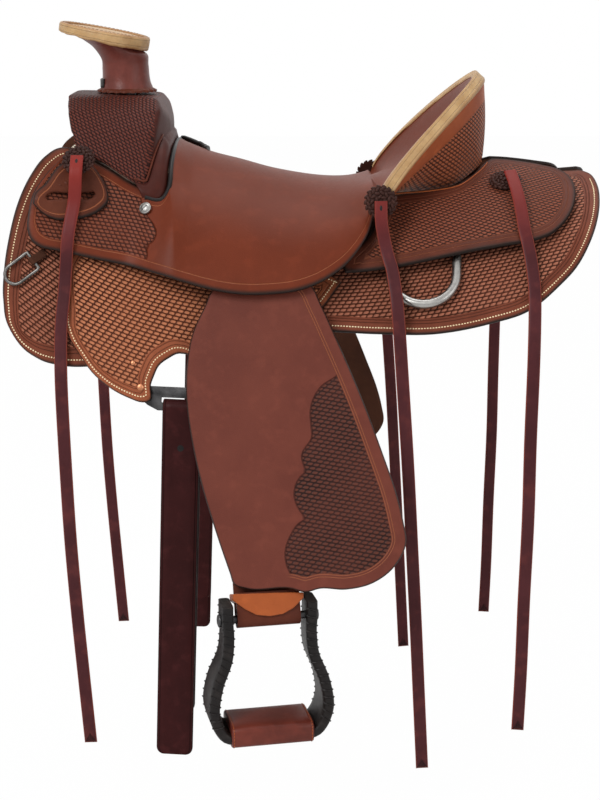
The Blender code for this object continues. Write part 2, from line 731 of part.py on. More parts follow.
def upright(points, i):
    """The normal of a line of points on the centre plane."""
    along = (points[min(len(points) - 1, i + 1)] - points[max(0, i - 1)]).normalized()
    return along.cross(Vector((0.0, 1.0, 0.0)))


DISH_RIBS = 12


def dish_rib(i, inset, first=0.0, last=1.0, rows=8):
    """A rib from the cantle's rim to the seat's crest; the first is at the rim's foot."""
    line = smooth([(x, 0.0, z) for x, z in DISH_LINE], DISH_RIBS)
    turn = math.radians(90.0) * (1 - i / (DISH_RIBS - 1))
    start = rim_point(turn, BINDING_THICK + 3 * PLY_GAP)
    normal = Vector((-0.45, -0.35 * math.sin(turn), 0.75)).normalized()
    return rib(start, normal, line[i], upright(line, i), inset, first, last, rows)


def seat_ribs(inset, first=0.0, rows=8):
    """Ribs of half of the seat, from its lower edge to its crest, front to rear."""
    lobe = edge_points(LOBE_EDGE, 14)
    foot = edge_points(FORK_FOOT, 14)
    flank = edge_points(FLANK_EDGE, 5)
    heel = smooth(FORK_HEEL[:3], 5)
    side = edge_points(SEAT_EDGE, 14)
    crest = smooth([(x, 0.0, z) for x, z in CREST], 14)
    front = [rib(*a, *b, inset, first, 1.0, rows // 2) for a, b in zip(lobe, foot)]
    for i in range(1, len(flank) - 1):
        t = 0.5 * i / (len(flank) - 1)
        normal = foot[-1][1].lerp(upright(crest, 0), t).normalized()
        front.append(rib(*flank[i], heel[i], normal, inset, first, 1.0, rows // 2))
    heel_normal = foot[-1][1].lerp(upright(crest, 0), 0.5).normalized()
    behind_fork = rib(*side[0], heel[-1], heel_normal, inset, 0.0, 1.0, rows // 2)
    behind_fork += smooth(FORK_HEEL[2:], rows - rows // 2 + 1)[1:]
    middle = [behind_fork] + [
        rib(*side[i], crest[i], upright(crest, i), inset, first, 1.0, rows)
        for i in range(1, len(side))
    ]
    return front, middle


def make_seat(looks):
    front, middle = seat_ribs(0.0)
    rear = [dish_rib(i, 0.0) for i in range(DISH_RIBS)]
    seat = skin("seat_leather", front + middle + rear, looks["seat"])
    thicken(seat, SEAT_THICK, -1.0)
    shade_round(seat)
    _, under = seat_ribs(SEAT_THICK + 2 * PLY_GAP, first=0.52, rows=5)
    ground = skin("ground_seat", under[1:-1], looks["wood"])
    thicken(ground, GROUND_SEAT_THICK, -1.0)
    shade_round(ground)


def cantle_back_line(i, inset, rows=5):
    """Points down the back of the cantle, from under its rim to the rear jockey."""
    turn = math.radians(90.0) * (1 - i / (DISH_RIBS - 1))
    top = rim_point(turn, BINDING_THICK + PLY_GAP + inset, BINDING_WIDTH - 0.001 - inset)
    foot_line = [on_back(x, z, CANTLE_FOOT_LIFT, OFF) for x, z in CANTLE_FOOT]
    foot_line[-1].y = 0.0
    foot = smooth(foot_line, DISH_RIBS)[i]
    inward = Vector((-0.8, -0.6 * math.sin(turn), 0.0)).normalized()
    foot = foot + inward * inset
    out = []
    for j in range(rows + 1):
        t = j / rows
        out.append(top.lerp(foot, t) - inward * CANTLE_BULGE * math.sin(math.pi * t))
    return out


def make_cantle(looks):
    back = skin(
        "cantle_back", [cantle_back_line(i, 0.0) for i in range(DISH_RIBS)],
        looks["dark"], flip=True,
    )
    thicken(back, CANTLE_BACK_THICK, -1.0)
    shade_round(back)
    rings = []
    inset = CANTLE_BACK_THICK + 9 * PLY_GAP
    for i in range(2, DISH_RIBS):
        t = i / (DISH_RIBS - 1)
        front = dish_rib(i, SEAT_THICK + PLY_GAP, 0.04, 0.36 + 0.34 * t, 6)
        behind = cantle_back_line(i, inset)[-2::-1]
        rings.append(front + behind)
    mirrored = [[Vector((p.x, -p.y, p.z)) for p in ring] for ring in rings[-2::-1]]
    loft("tree_cantle", rings + mirrored, looks["wood"])
    rings = []
    turns = 26
    for i in range(turns + 1):
        turn = math.radians(90.0) * (2 * i / turns - 1)
        rings.append([
            rim_point(turn, 0.0, 0.001), rim_point(turn, 0.0, BINDING_WIDTH - 0.001),
            rim_point(turn, 0.001, BINDING_WIDTH), rim_point(turn, BINDING_THICK, BINDING_WIDTH),
            rim_point(turn, BINDING_THICK, 0.0), rim_point(turn, 0.001, 0.0),
        ])
    shade_round(loft("cantle_binding", rings, looks["rawhide"]))


def shrunk(points, by):
    """An outline moved inwards, corner by corner."""
    area = sum(a[0] * b[1] - b[0] * a[1] for a, b in zip(points, points[1:] + points[:1]))
    turn = 1.0 if area > 0 else -1.0
    out = []
    for i, p in enumerate(points):
        before = Vector(p) - Vector(points[i - 1])
        after = Vector(points[(i + 1) % len(points)]) - Vector(p)
        normals = [Vector((-e.y, e.x)).normalized() * turn for e in (before, after)]
        mean = (normals[0] + normals[1]).normalized()
        out.append(tuple(Vector(p) + mean * by / max(0.5, mean.dot(normals[0]))))
    return out


def mirrored_outline(half):
    return list(half) + [(-y, z) for y, z in half[::-1] if y]


def make_fork(looks):
    """The fork's wood, and the leather cover that is stretched over it."""
    front = mirrored_outline(FORK_FRONT)
    side = list(FORK_SIDE) + [(-0.154, -0.20), (-0.258, -0.20)]
    base = list(FORK_BASE) + [(-0.145, -0.30), (-0.300, -0.30)]
    gullet = mirrored_outline(GULLET[:-1] + ((0.12, -0.09),))
    under = [
        sheet(
            f"under_fork_{word}", UNDER_FORK, 0.05 + OVER_BAR, None, each,
            lambda x, z: -0.05, cutters,
        )
        for each, word in SIDES
    ]
    below = prism("below_fork", base, -0.3, 0.3, "y", into=cutters)
    tunnel = prism("gullet_tunnel", gullet, -0.34, -0.10, "x", into=cutters)
    foot = Vector((HORN_X, 0.0, CORE_FOOT_Z - CORE_GAP))
    top = Vector((HORN_X, 0.0, CORE_TOP_Z + CORE_GAP))
    bore = rod("horn_bore", foot, top, CORE_RADIUS + CORE_GAP, into=cutters)

    def block(name, by, look, into=None):
        made = prism(name, shrunk(front, by) if by else front, -0.30, -0.14, "x", look, into)
        slice_of = prism(
            f"{name}_slice", shrunk(side, by) if by else side, -0.25, 0.25, "y", into=cutters,
        )
        boolean(made, slice_of, "INTERSECT")
        plan = list(FORK_PLAN) + [(x, -y) for x, y in FORK_PLAN[-2:0:-1]]
        across = slab(
            f"{name}_plan", shrunk(plan, by) if by else plan, -0.25, 0.25,
            lambda u, v, w: Vector((u, v, w)), None, cutters,
        )
        boolean(made, across, "INTERSECT")
        return made

    inside = block("fork_inside", COVER_THICK, None, cutters)
    cover = block("fork_cover", 0.0, looks["dark"])
    boolean(cover, inside)
    wood = block("tree_fork", COVER_THICK + PLY_GAP, looks["wood"])
    for made in (cover, wood):
        for cutter in (below, tunnel, *under, bore):
            boolean(made, cutter)
    return bore


def cap_place(along, out, height=0.0):
    """A point of the horn cap's own tilted plane."""
    return Vector((
        CAP_X + along * math.cos(CAP_TILT) + height * math.sin(CAP_TILT), out,
        CAP_Z - along * math.sin(CAP_TILT) + height * math.cos(CAP_TILT),
    ))


def make_horn(looks, bore):
    foot = Vector((HORN_X, 0.0, CORE_FOOT_Z))
    top = Vector((HORN_X, 0.0, CORE_TOP_Z))
    rod("horn_core", foot, top, CORE_RADIUS, looks["iron"])
    under = CAP_THICK / 2 + PLY_GAP
    stations = (
        (HORN_X, WRAP_FOOT_Z, 0.0335, 1.5), (HORN_X, 0.1412, 0.0330, 3.0),
        (-0.2095, 0.1470, 0.0290, 4.0), (-0.2100, 0.158, 0.0280, 6.0),
        (-0.2110, 0.170, 0.0285, 8.0), (-0.2160, 0.182, 0.0330, 10.0),
        (-0.2255, 0.1895, 0.0360, 10.5),
    )
    rings = []
    sides = 28
    for x, z, radius, tilt in stations:
        lean = math.radians(tilt)
        ring = []
        for j in range(sides):
            a = 2 * math.pi * j / sides
            u = radius * math.cos(a)
            ring.append(Vector((
                x + u * math.cos(lean), radius * math.sin(a), z - u * math.sin(lean),
            )))
        rings.append(ring)
    rings.append([
        cap_place(0.005 + 0.0425 * math.cos(2 * math.pi * j / sides),
                  0.0425 * math.sin(2 * math.pi * j / sides), -under)
        for j in range(sides)
    ])
    wrap = loft("horn_wrap", rings, looks["rawhide"])
    boolean(wrap, bore)
    shade_round(wrap)
    place = facing(Vector((CAP_X, 0.0, CAP_Z)), cap_place(0, 0, 1) - cap_place(0, 0, 0))
    radius = CAP_RADIUS - PLY_GAP
    half = CAP_THICK / 2
    turned("horn_cap", (
        (0.0, -half), (radius, -half), (radius, half), (radius * 0.8, half + 0.0012),
        (0.0, half + 0.002),
    ), place, looks["seat"], 28)
    outer = CAP_RADIUS + CAP_BAND_THICK
    tall = CAP_BAND / 2
    turned("horn_binding", (
        (CAP_RADIUS, -tall + 0.001), (CAP_RADIUS + 0.0015, -tall), (outer - 0.003, -tall),
        (outer, -tall + 0.004), (outer, tall - 0.004), (outer - 0.003, tall),
        (CAP_RADIUS + 0.0015, tall), (CAP_RADIUS, tall - 0.001), (CAP_RADIUS, -tall + 0.001),
    ), place, looks["rawhide"], 28)


def make_skirts(looks):
    for side, word in SIDES:
        sheet(f"skirt_{word}", SKIRT_OUTLINE, SKIRT_THICK, looks["tan"], side, lambda x, z: 0.0)
        sheet(
            f"fleece_{word}", SKIRT_OUTLINE, FLEECE_THICK, looks["fleece"], side,
            lambda x, z: -FLEECE_THICK - PLY_GAP,
        )
        sheet(
            f"rigging_leather_{word}", RIGGING_OUTLINE, RIGGING_THICK, looks["tan"], side,
            lambda x, z: OVER_SKIRT,
        )
        sheet(
            f"rear_jockey_{word}", REAR_JOCKEY_OUTLINE, JOCKEY_THICK, looks["dark"], side,
            jockey_lift,
        )


def hanging(side):
    return lambda x, drop, off: hung(x, drop, off, side)


def arc_points(radius, start, end, count):
    """Points of an arc, from one angle to another, counted from straight up."""
    out = []
    for i in range(count + 1):
        a = start + (end - start) * i / count
        out.append((radius * math.sin(a), -radius * math.cos(a)))
    return out


def make_bars(looks):
    """The tree's two bars, each with the boss that its stirrup leather hooks over."""
    for side, word in SIDES:
        bar = sheet(
            f"tree_bar_{word}", BAR_OUTLINE, BAR_THICK, looks["wood"], side,
            lambda x, z: OVER_SKIRT,
        )
        behind = sheet(
            f"behind_boss_{word}", BEHIND_BOSS, 0.05 + BOSS_LIFT, None, side,
            lambda x, z: -0.05, cutters,
        )
        place = hanging(side)
        start = place(HANG_X, 0.0, -BOSS_DEPTH)
        end = place(HANG_X, 0.0, -STRAP_THICK - 2 * SWING_GAP)
        boss = rod(f"boss_{word}", start, end, BOSS_RADIUS, into=cutters, sides=24)
        boolean(boss, behind)
        boolean(bar, boss, "UNION")


def bolt_frame(side):
    """The frame of the stirrup's bolt: along the bolt, up, and out from the horse."""
    along = Vector((math.cos(TWIST), -side * math.sin(TWIST), 0.0))
    origin = hung(LEATHER_X, BOLT_DROP, BOLT_OFF, side)
    return origin, along


def make_leathers(looks):
    """Stirrup leather with its hook, the fender over it and the hobble strap below."""
    made = {}
    for side, word in SIDES:
        origin, along = bolt_frame(side)
        up = hung(0.0, 0.0, 0.0, side) - hung(0.0, 1.0, 0.0, side)
        leaning = frame(origin, along, up)
        inner = -SWING_GAP - STRAP_THICK / 2
        path = []
        across = []
        width = []
        tops = (
            (-0.0250, 0.016), (-0.0215, 0.032), (-0.0130, 0.050), (0.0, 0.062), (0.020, 0.070),
            (0.036, LEATHER_WIDTH), (0.100, LEATHER_WIDTH), (0.170, LEATHER_WIDTH),
        )
        for drop, wide in tops:
            x = HANG_X + (LEATHER_X - HANG_X) * blend(-0.02, 0.10, drop)
            path.append(hung(x, drop, inner, side))
            across.append(Vector((1.0, 0.0, 0.0)))
            width.append(wide)
        steps = 5
        last = hung(LEATHER_X, TWIST_TOP, inner, side)
        low = leaning(0.0, BOLT_DROP - TWIST_FOOT, -LOOP_RADIUS)
        for i in range(steps + 1):
            t = i / steps
            eased = blend(0.0, 1.0, t)
            straight = hung(LEATHER_X, TWIST_TOP + (TWIST_FOOT - TWIST_TOP) * t, inner, side)
            bent = low + (last - low) * (1 - t)
            path.append(straight.lerp(bent, eased))
            across.append(Vector((1.0, 0.0, 0.0)).lerp(along, eased))
            width.append(LEATHER_WIDTH)
        loop = [leaning(0.0, 0.012, -LOOP_RADIUS)]
        for i in range(11):
            a = math.pi * i / 10
            loop.append(leaning(0.0, -LOOP_RADIUS * math.sin(a), -LOOP_RADIUS * math.cos(a)))
        loop.append(leaning(0.0, LOOP_HEIGHT, LOOP_RADIUS))
        path += loop
        across += [along] * len(loop)
        width += [LEATHER_WIDTH] * len(loop)
        leather = strap(f"stirrup_leather_{word}", path, across, width, STRAP_THICK, looks["fender"])
        sector = arc_points(BOSS_RADIUS + SWING_GAP, -HOOK_ANGLE, HOOK_ANGLE, 8)
        sector += arc_points(BOSS_RADIUS + SWING_GAP + HOOK_WALL, HOOK_ANGLE, -HOOK_ANGLE, 8)
        sector = [(HANG_X + u, v) for u, v in sector]
        hook = slab(
            f"hook_{word}", sector, -HOOK_DEPTH, inner, hanging(side), None, cutters,
        )
        boolean(leather, hook, "UNION")
        fender = slab(
            f"fender_{word}", FENDER_OUTLINE, 0.0, FENDER_THICK, hanging(side), looks["fender"],
        )
        hole = LEATHER_WIDTH / 2 + KEEPER_GAP
        deep = LOOP_RADIUS + STRAP_THICK / 2 + KEEPER_GAP
        wide = deep + KEEPER_BAND
        keeper = slab(
            f"stirrup_keeper_{word}", HOBBLE_OUTLINE, -wide, wide, leaning, looks["hobble"],
        )
        window = ((-hole, -0.03), (hole, -0.03), (hole, 0.06), (-hole, 0.06))
        boolean(keeper, slab(f"keeper_hole_{word}", window, -deep, deep, leaning, None, cutters))
        made[word] = [fender, leather, keeper]
    return made


def leg_rings(extra, side):
    """Rings of the stirrup's bent wood, thickened all round by a little when it cuts."""
    origin, along = bolt_frame(side)
    out = Vector((math.sin(TWIST), side * math.cos(TWIST), 0.0))
    half = smooth([(u, 0.0, v) for u, v in LEG_PATH], 17)
    line = [(p.x, p.z) for p in half] + [(-p.x, p.z) for p in half[-2::-1]]
    rings = []
    for i, (u, v) in enumerate(line):
        before = Vector(line[max(i - 1, 0)])
        after = Vector(line[min(i + 1, len(line) - 1)])
        way = (after - before).normalized()
        normal = Vector((-way.y, way.x))
        deep = LEG_TOP_DEPTH + (LEG_FOOT_DEPTH - LEG_TOP_DEPTH) * blend(0.0, -0.110, v)
        a = LEG_THICK / 2 + extra
        b = deep / 2 + extra
        c = LEG_CHAMFER
        ring = []
        for s, w in (
            (a, b - c), (a - c, b), (c - a, b), (-a, b - c),
            (-a, c - b), (c - a, -b), (a - c, -b), (a, c - b),
        ):
            spot = Vector((u, v)) + normal * s
            ring.append(origin + along * spot.x + Vector((0.0, 0.0, spot.y)) + out * w)
        rings.append(ring)
    return rings


def make_stirrups(looks):
    made = {}
    for side, word in SIDES:
        origin, along = bolt_frame(side)
        place = frame(origin, along, Vector((0.0, 0.0, 1.0)))
        wood = loft(f"stirrup_frame_{word}", leg_rings(0.0, side), looks["black"])
        reach = LEG_PATH[0][0] + LEG_THICK / 2
        hole = rod(
            f"bolt_hole_{word}", place(-reach - 0.01, 0.0), place(reach + 0.01, 0.0),
            BOLT_RADIUS + BOLT_GAP, into=cutters, sides=16,
        )
        boolean(wood, hole)
        shade_round(wood)
        ends = reach + BOLT_GAP
        half = (
            (0.0, -ends - BOLT_HEAD_THICK), (BOLT_HEAD_RADIUS, -ends - BOLT_HEAD_THICK),
            (BOLT_HEAD_RADIUS, -ends), (BOLT_RADIUS, -ends), (BOLT_RADIUS, ends),
            (BOLT_HEAD_RADIUS, ends), (BOLT_HEAD_RADIUS, ends + BOLT_HEAD_THICK),
            (0.0, ends + BOLT_HEAD_THICK),
        )
        bolt = turned(f"stirrup_bolt_{word}", half, facing(origin, along), looks["steel"], 16)
        long = TREAD_HALF_LENGTH
        deep = TREAD_DEPTH / 2
        section = (
            (-deep + 0.004, TREAD_TOP), (deep - 0.004, TREAD_TOP), (deep, TREAD_TOP - 0.006),
            (deep, TREAD_FOOT + 0.004), (deep - 0.005, TREAD_FOOT),
            (-deep + 0.005, TREAD_FOOT), (-deep, TREAD_FOOT + 0.004),
            (-deep, TREAD_TOP - 0.006),
        )
        rings = [[place(u, v, w) for w, v in section] for u in (-long, long)]
        tread = loft(f"stirrup_tread_{word}", rings, looks["tread"])
        slot = loft(f"tread_slot_{word}", leg_rings(TREAD_GAP, side), None, cutters)
        boolean(tread, slot)
        made[word] = [wood, tread, bolt]
    return made


def make_rigging_metal(looks):
    """Rigging plates with the latigo or the off billet folded over each one's lower bar."""
    made = {}
    for side, word in SIDES:
        start = on_back(PLATE_X, PLATE_SLOT_TOP, PLATE_LIFT, side)
        low = on_back(PLATE_X, PLATE_FOOT, PLATE_LIFT, side)
        along = on_back(PLATE_X + 0.04, PLATE_FOOT, 0.0, side)
        along -= on_back(PLATE_X - 0.04, PLATE_FOOT, 0.0, side)
        along = along.normalized() - Vector((0.0, 0.0, PLATE_ROLL))
        place = frame(start, along, start - low)
        stretch = (start - low).length / (PLATE_SLOT_TOP - PLATE_FOOT)
        outline = [(x - PLATE_X, (z - PLATE_SLOT_TOP) * stretch) for x, z in PLATE_OUTLINE]
        plate = slab(f"rigging_plate_{word}", outline, 0.0, PLATE_THICK, place, looks["iron"])
        bar_top = (PLATE_BAR_TOP - PLATE_SLOT_TOP) * stretch
        half = SLOT_HALF_LENGTH
        slot = ((-half, bar_top), (half, bar_top), (half, 0.0), (-half, 0.0))
        boolean(plate, slab(
            f"plate_slot_{word}", slot, -0.004, PLATE_THICK + 0.004, place, None, cutters,
        ))
        axis = place(0.0, bar_top - LATIGO_AXIS_DROP, PLATE_THICK / 2)
        sideways = (place(1.0, 0.0) - place(0.0, 0.0)).normalized()
        hang = frame(axis, sideways, Vector((0.0, 0.0, 1.0)))
        path = [hang(0.0, -LATIGO_LONG * t, LATIGO_LOOP) for t in (1.0, 0.66, 0.33, 0.0)]
        for i in range(1, 8):
            a = math.pi * i / 8
            path.append(hang(0.0, LATIGO_LOOP * math.sin(a), LATIGO_LOOP * math.cos(a)))
        path += [hang(0.0, -LATIGO_SHORT * t, -LATIGO_LOOP) for t in (0.0, 0.33, 0.66, 1.0)]
        name = "latigo" if side == NEAR else "off_billet"
        billet = strap(name, path, sideways, LATIGO_WIDTH, LATIGO_THICK, looks["latigo"])
        made[word] = (axis, billet)
    return made


def dee_points(place, half_width, length, radius_points):
    """A dee in its own frame: its bar, two straight sides and a half round foot."""
    points = []
    for u in (-half_width, 0.0, half_width):
        points.append((u, 0.0))
    points.append((half_width, -length * 0.5))
    for i in range(radius_points + 1):
        a = math.pi * i / radius_points
        points.append((half_width * math.cos(a), -length - half_width * math.sin(a)))
    points.append((-half_width, -length * 0.5))
    return [place(u, v) for u, v in points]


def make_dees(looks):
    made = {}
    for side, word in SIDES:
        start = on_back(0.144, -0.0515, 0.0125, side)
        low = on_back(0.144, -0.1020, 0.0140, side)
        along = on_back(0.175, -0.075, 0.0, side) - on_back(0.113, -0.075, 0.0, side)
        place = frame(start, along, start - low)
        length = (start - low).length - REAR_DEE_RADIUS
        points = dee_points(place, REAR_DEE_RADIUS, length, 14)
        radii = [REAR_DEE_BAR] * 3 + [REAR_DEE_WIRE] * (len(points) - 3)
        dee = wire(f"rear_dee_{word}", points, radii, looks["steel"])
        loop = REAR_DEE_BAR + LOOP_GAP + DEE_STRAP_THICK / 2
        path = [place(0.0, 0.030, -loop - 0.0008), place(0.0, 0.012, -loop)]
        for i in range(9):
            a = math.pi * i / 8
            path.append(place(0.0, -loop * math.sin(a), -loop * math.cos(a)))
        path.append(place(0.0, 0.010, loop * 0.55))
        path.append(place(0.0, 0.018, DEE_STRAP_THICK + 0.0006 - loop))
        path.append(place(0.0, 0.030, DEE_STRAP_THICK - loop - 0.0002))
        strap(
            f"rear_dee_strap_{word}", path, along, DEE_STRAP_WIDTH, DEE_STRAP_THICK,
            looks["latigo"],
        )
        bar_from = on_back(-0.313, -0.040, 0.0100, side)
        bar_to = on_back(-0.298, -0.059, 0.0100, side)
        middle = (bar_from + bar_to) / 2
        tip = on_back(-0.3385, -0.0680, 0.0102, side)
        spot = frame(middle, bar_to - bar_from, middle - tip)
        points = dee_points(spot, FRONT_DEE_RADIUS, FRONT_DEE_LENGTH, 12)
        ring = wire(
            f"front_dee_{word}", points, [FRONT_DEE_WIRE] * len(points), looks["steel"],
        )
        fold = FRONT_DEE_WIRE + LOOP_GAP + TAB_THICK / 2
        path = [spot(0.0, 0.016, -fold + 0.0003), spot(0.0, 0.006, -fold + 0.0001)]
        for i in range(7):
            a = math.pi * i / 6
            path.append(spot(0.0, -fold * math.sin(a), -fold * math.cos(a)))
        path.append(spot(0.0, 0.006, -fold + 2 * TAB_THICK + 0.0006))
        path.append(spot(0.0, 0.016, -fold + TAB_THICK + 0.0010))
        strap(
            f"front_dee_tab_{word}", path, bar_to - bar_from, TAB_WIDTH, TAB_THICK,
            looks["dark"],
        )
        made[word] = (start, along, dee, middle, bar_to - bar_from, ring)
    return made


def make_strings(looks):
    for side, word in SIDES:
        for place, (top, laid, free) in STRINGS.items():
            path = [Vector((x, side * y, z)) for x, y, z in top]
            path += [on_back(x, z, lift, side) for x, z, lift in laid]
            path += [Vector((x, side * y, z)) for x, y, z in free]
            path = smooth(path, 26)
            strap(
                f"string_{place}_{word}", path, Vector((1.0, 0.0, 0.0)), STRING_WIDTH,
                STRING_THICK, looks["string"],
            )
            turned(
                f"rosette_{place}_{word}", disc_profile(ROSETTE_RADIUS, ROSETTE_THICK, 0.0025),
                stud_place(ROSETTES[place], side), looks["black"],
            )
        turned(
            f"concho_{word}", disc_profile(CONCHO_RADIUS, CONCHO_THICK, 0.001),
            stud_place(CONCHO, side), looks["steel"], 16,
        )
    keeper = sheet(
        "latigo_keeper", KEEPER_OUTLINE, KEEPER_THICK, looks["tan"], NEAR,
        lambda x, z: KEEPER_LIFT,
    )
    boolean(keeper, sheet(
        "keeper_slot", KEEPER_SLOT, KEEPER_THICK + 0.012, None, NEAR,
        lambda x, z: KEEPER_LIFT - 0.006, cutters,
    ))


def hang_on(pivot, pieces):
    """Parents pieces to an empty on their joint's axis, leaving them where they are."""
    bpy.context.view_layer.update()
    for piece in pieces:
        piece.parent = pivot
        piece.matrix_parent_inverse = pivot.matrix_world.inverted()


def pivot_at(name, place):
    made = bpy.data.objects.new(name, None)
    made.empty_display_size = 0.03
    collection.objects.link(made)
    made.location = place
    bpy.context.view_layer.update()
    return made


def main():
    start_scene()
    looks = make_looks()
    make_seat(looks)
    make_cantle(looks)
    make_horn(looks, make_fork(looks))
    make_bars(looks)
    make_skirts(looks)
    leathers = make_leathers(looks)
    stirrups = make_stirrups(looks)
    billets = make_rigging_metal(looks)
    dees = make_dees(looks)
    make_strings(looks)
    for side, word in SIDES:
        swing = pivot_at(f"fender_pivot_{word}", hung(HANG_X, 0.0, 0.0, side))
        hang_on(swing, leathers[word])
        origin, _ = bolt_frame(side)
        turn = pivot_at(f"stirrup_pivot_{word}", origin)
        hang_on(turn, stirrups[word])
        hang_on(swing, [turn])
        axis, billet = billets[word]
        hang_on(pivot_at(f"billet_pivot_{word}", axis), [billet])
        rear, _, dee, front, _, ring = dees[word]
        hang_on(pivot_at(f"rear_dee_pivot_{word}", rear), [dee])
        hang_on(pivot_at(f"front_dee_pivot_{word}", front), [ring])


main()
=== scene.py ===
import math

import bpy
import numpy as np
from mathutils import Matrix, Vector, noise
from mathutils.bvhtree import BVHTree
from mathutils.geometry import delaunay_2d_cdt


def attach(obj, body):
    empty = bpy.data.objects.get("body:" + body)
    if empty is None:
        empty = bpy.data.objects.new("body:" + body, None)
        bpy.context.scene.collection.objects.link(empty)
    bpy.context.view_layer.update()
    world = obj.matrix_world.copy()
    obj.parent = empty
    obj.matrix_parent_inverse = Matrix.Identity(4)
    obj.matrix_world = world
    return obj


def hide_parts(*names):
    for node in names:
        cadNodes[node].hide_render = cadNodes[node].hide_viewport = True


# Ranch saddle, dressed over its CAD. Horse's head towards -X, near side towards -Y.
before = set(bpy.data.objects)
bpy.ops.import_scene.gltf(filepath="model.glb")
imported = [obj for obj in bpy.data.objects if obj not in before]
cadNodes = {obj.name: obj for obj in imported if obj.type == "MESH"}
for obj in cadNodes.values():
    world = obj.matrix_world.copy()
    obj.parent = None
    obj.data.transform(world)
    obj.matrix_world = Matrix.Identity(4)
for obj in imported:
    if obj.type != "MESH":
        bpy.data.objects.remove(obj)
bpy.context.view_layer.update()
sides = ((-1, "near"), (1, "off"))
shop = bpy.data.collections.new("saddleLooks")
bpy.context.scene.collection.children.link(shop)

# The photograph's view, and the room round the saddle.
room = {"elevation": 13.5, "distance": 2.25, "target": (0.0, 0.0, -0.25), "frameHeight": 1.008,
        "floor": -0.72, "floorColour": (0.95, 0.95, 0.95), "floorGlow": 0.985, "roomLight": 0.42}


def placeCamera():
    lean = math.radians(room["elevation"])
    target = Vector(room["target"])
    lens = bpy.data.cameras.new("photoView")
    lens.sensor_width = 36.0
    lens.lens = 36.0 * room["distance"] / room["frameHeight"]
    lens.clip_start = 0.05
    camera = bpy.data.objects.new("photoView", lens)
    camera.location = target + Vector((0.0, -math.cos(lean), math.sin(lean))) * room["distance"]
    camera.rotation_euler = (math.radians(90.0) - lean, 0.0, 0.0)
    bpy.context.scene.collection.objects.link(camera)
    bpy.context.scene.camera = camera


def softLamp(name, place, aim, size, watts):
    light = bpy.data.lights.new(name, "AREA")
    light.shape = "RECTANGLE"
    light.size, light.size_y = size
    light.energy = watts
    lamp = bpy.data.objects.new(name, light)
    lamp.location = place
    lamp.rotation_euler = (Vector(aim) - Vector(place)).to_track_quat("-Z", "Y").to_euler()
    bpy.context.scene.collection.objects.link(lamp)


def feed(tree, node, links):
    # Each named input takes a link where it is given a socket, or else a constant.
    for key, value in dict(links).items():
        if isinstance(value, bpy.types.NodeSocket):
            tree.links.new(value, node.inputs[key])
        else:
            node.inputs[key].default_value = value
    return node


def put(tree, kind, links=(), **settings):
    node = tree.nodes.new(kind)
    for key, value in settings.items():
        setattr(node, key, value)
    return feed(tree, node, links)


def calc(tree, operation, *values):
    return put(tree, "ShaderNodeMath", dict(enumerate(values)), operation=operation).outputs[0]


def times(tree, first, second):
    return calc(tree, "MULTIPLY", first, second)


def plus(tree, first, second):
    return calc(tree, "ADD", first, second)


def less(tree, first, second):
    return calc(tree, "SUBTRACT", first, second)


def rampTo(tree, value, low, high, first=0.0, last=1.0):
    return put(tree, "ShaderNodeMapRange", {0: value, 1: low, 2: high, 3: first, 4: last},
               interpolation_type="SMOOTHSTEP").outputs[0]


def tint(tree, share, first, second, how="MIX"):
    first = (*first, 1.0) if isinstance(first, tuple) else first
    second = (*second, 1.0) if isinstance(second, tuple) else second
    return put(tree, "ShaderNodeMix", {0: share, 6: first, 7: second}, data_type="RGBA",
               blend_type=how).outputs[2]


def setStage():
    whiteRoom = bpy.data.worlds.new("whiteRoom")
    bpy.context.scene.world = whiteRoom
    whiteRoom.use_nodes = True
    tree = whiteRoom.node_tree
    ground = tree.nodes["Background"]
    rays = put(tree, "ShaderNodeLightPath")
    seen = calc(tree, "MAXIMUM", calc(tree, "MAXIMUM", rays.outputs["Is Camera Ray"],
                rays.outputs["Is Glossy Ray"]), rays.outputs["Is Transmission Ray"])
    seen = calc(tree, "MAXIMUM", seen, room["roomLight"])
    tree.links.new(seen, ground.inputs["Strength"])
    ground.inputs["Color"].default_value = (1.0, 1.0, 1.0, 1.0)
    softLamp("softKey", (-1.5, -2.3, 1.9), (0.0, 0.0, -0.1), (1.3, 1.3), 62.0)
    softLamp("softFill", (2.2, -2.0, 0.6), (0.0, 0.0, -0.2), (1.6, 1.6), 14.0)
    softLamp("softTop", (0.2, 0.5, 2.3), (0.0, 0.0, 0.0), (1.6, 1.6), 24.0)
    paper = bpy.data.materials.new("palePaper")
    paper.use_nodes = True
    tree = paper.node_tree
    shader = tree.nodes["Principled BSDF"]
    shader.inputs["Base Color"].default_value = (*room["floorColour"], 1.0)
    shader.inputs["Roughness"].default_value = 0.9
    rays = put(tree, "ShaderNodeLightPath")
    glow = put(tree, "ShaderNodeEmission", {"Color": (1.0, 1.0, 1.0, 1.0), "Strength": 1.0})
    lit = put(tree, "ShaderNodeMixShader",
              {0: times(tree, rays.outputs["Is Camera Ray"], room["floorGlow"])})
    tree.links.new(shader.outputs[0], lit.inputs[1])
    tree.links.new(glow.outputs[0], lit.inputs[2])
    tree.links.new(lit.outputs[0], tree.nodes["Material Output"].inputs["Surface"])
    size = 9.0
    z = room["floor"]
    mesh = bpy.data.meshes.new("paleFloor")
    mesh.from_pydata([(-size, -size, z), (size, -size, z), (size, size, z), (-size, size, z)], [],
                     [(0, 1, 2, 3)])
    mesh.materials.append(paper)
    floor = bpy.data.objects.new("paleFloor", mesh)
    bpy.context.scene.collection.objects.link(floor)
    view = bpy.context.scene.view_settings
    view.view_transform = "Standard"


placeCamera()
setStage()
print("camera and stage set")


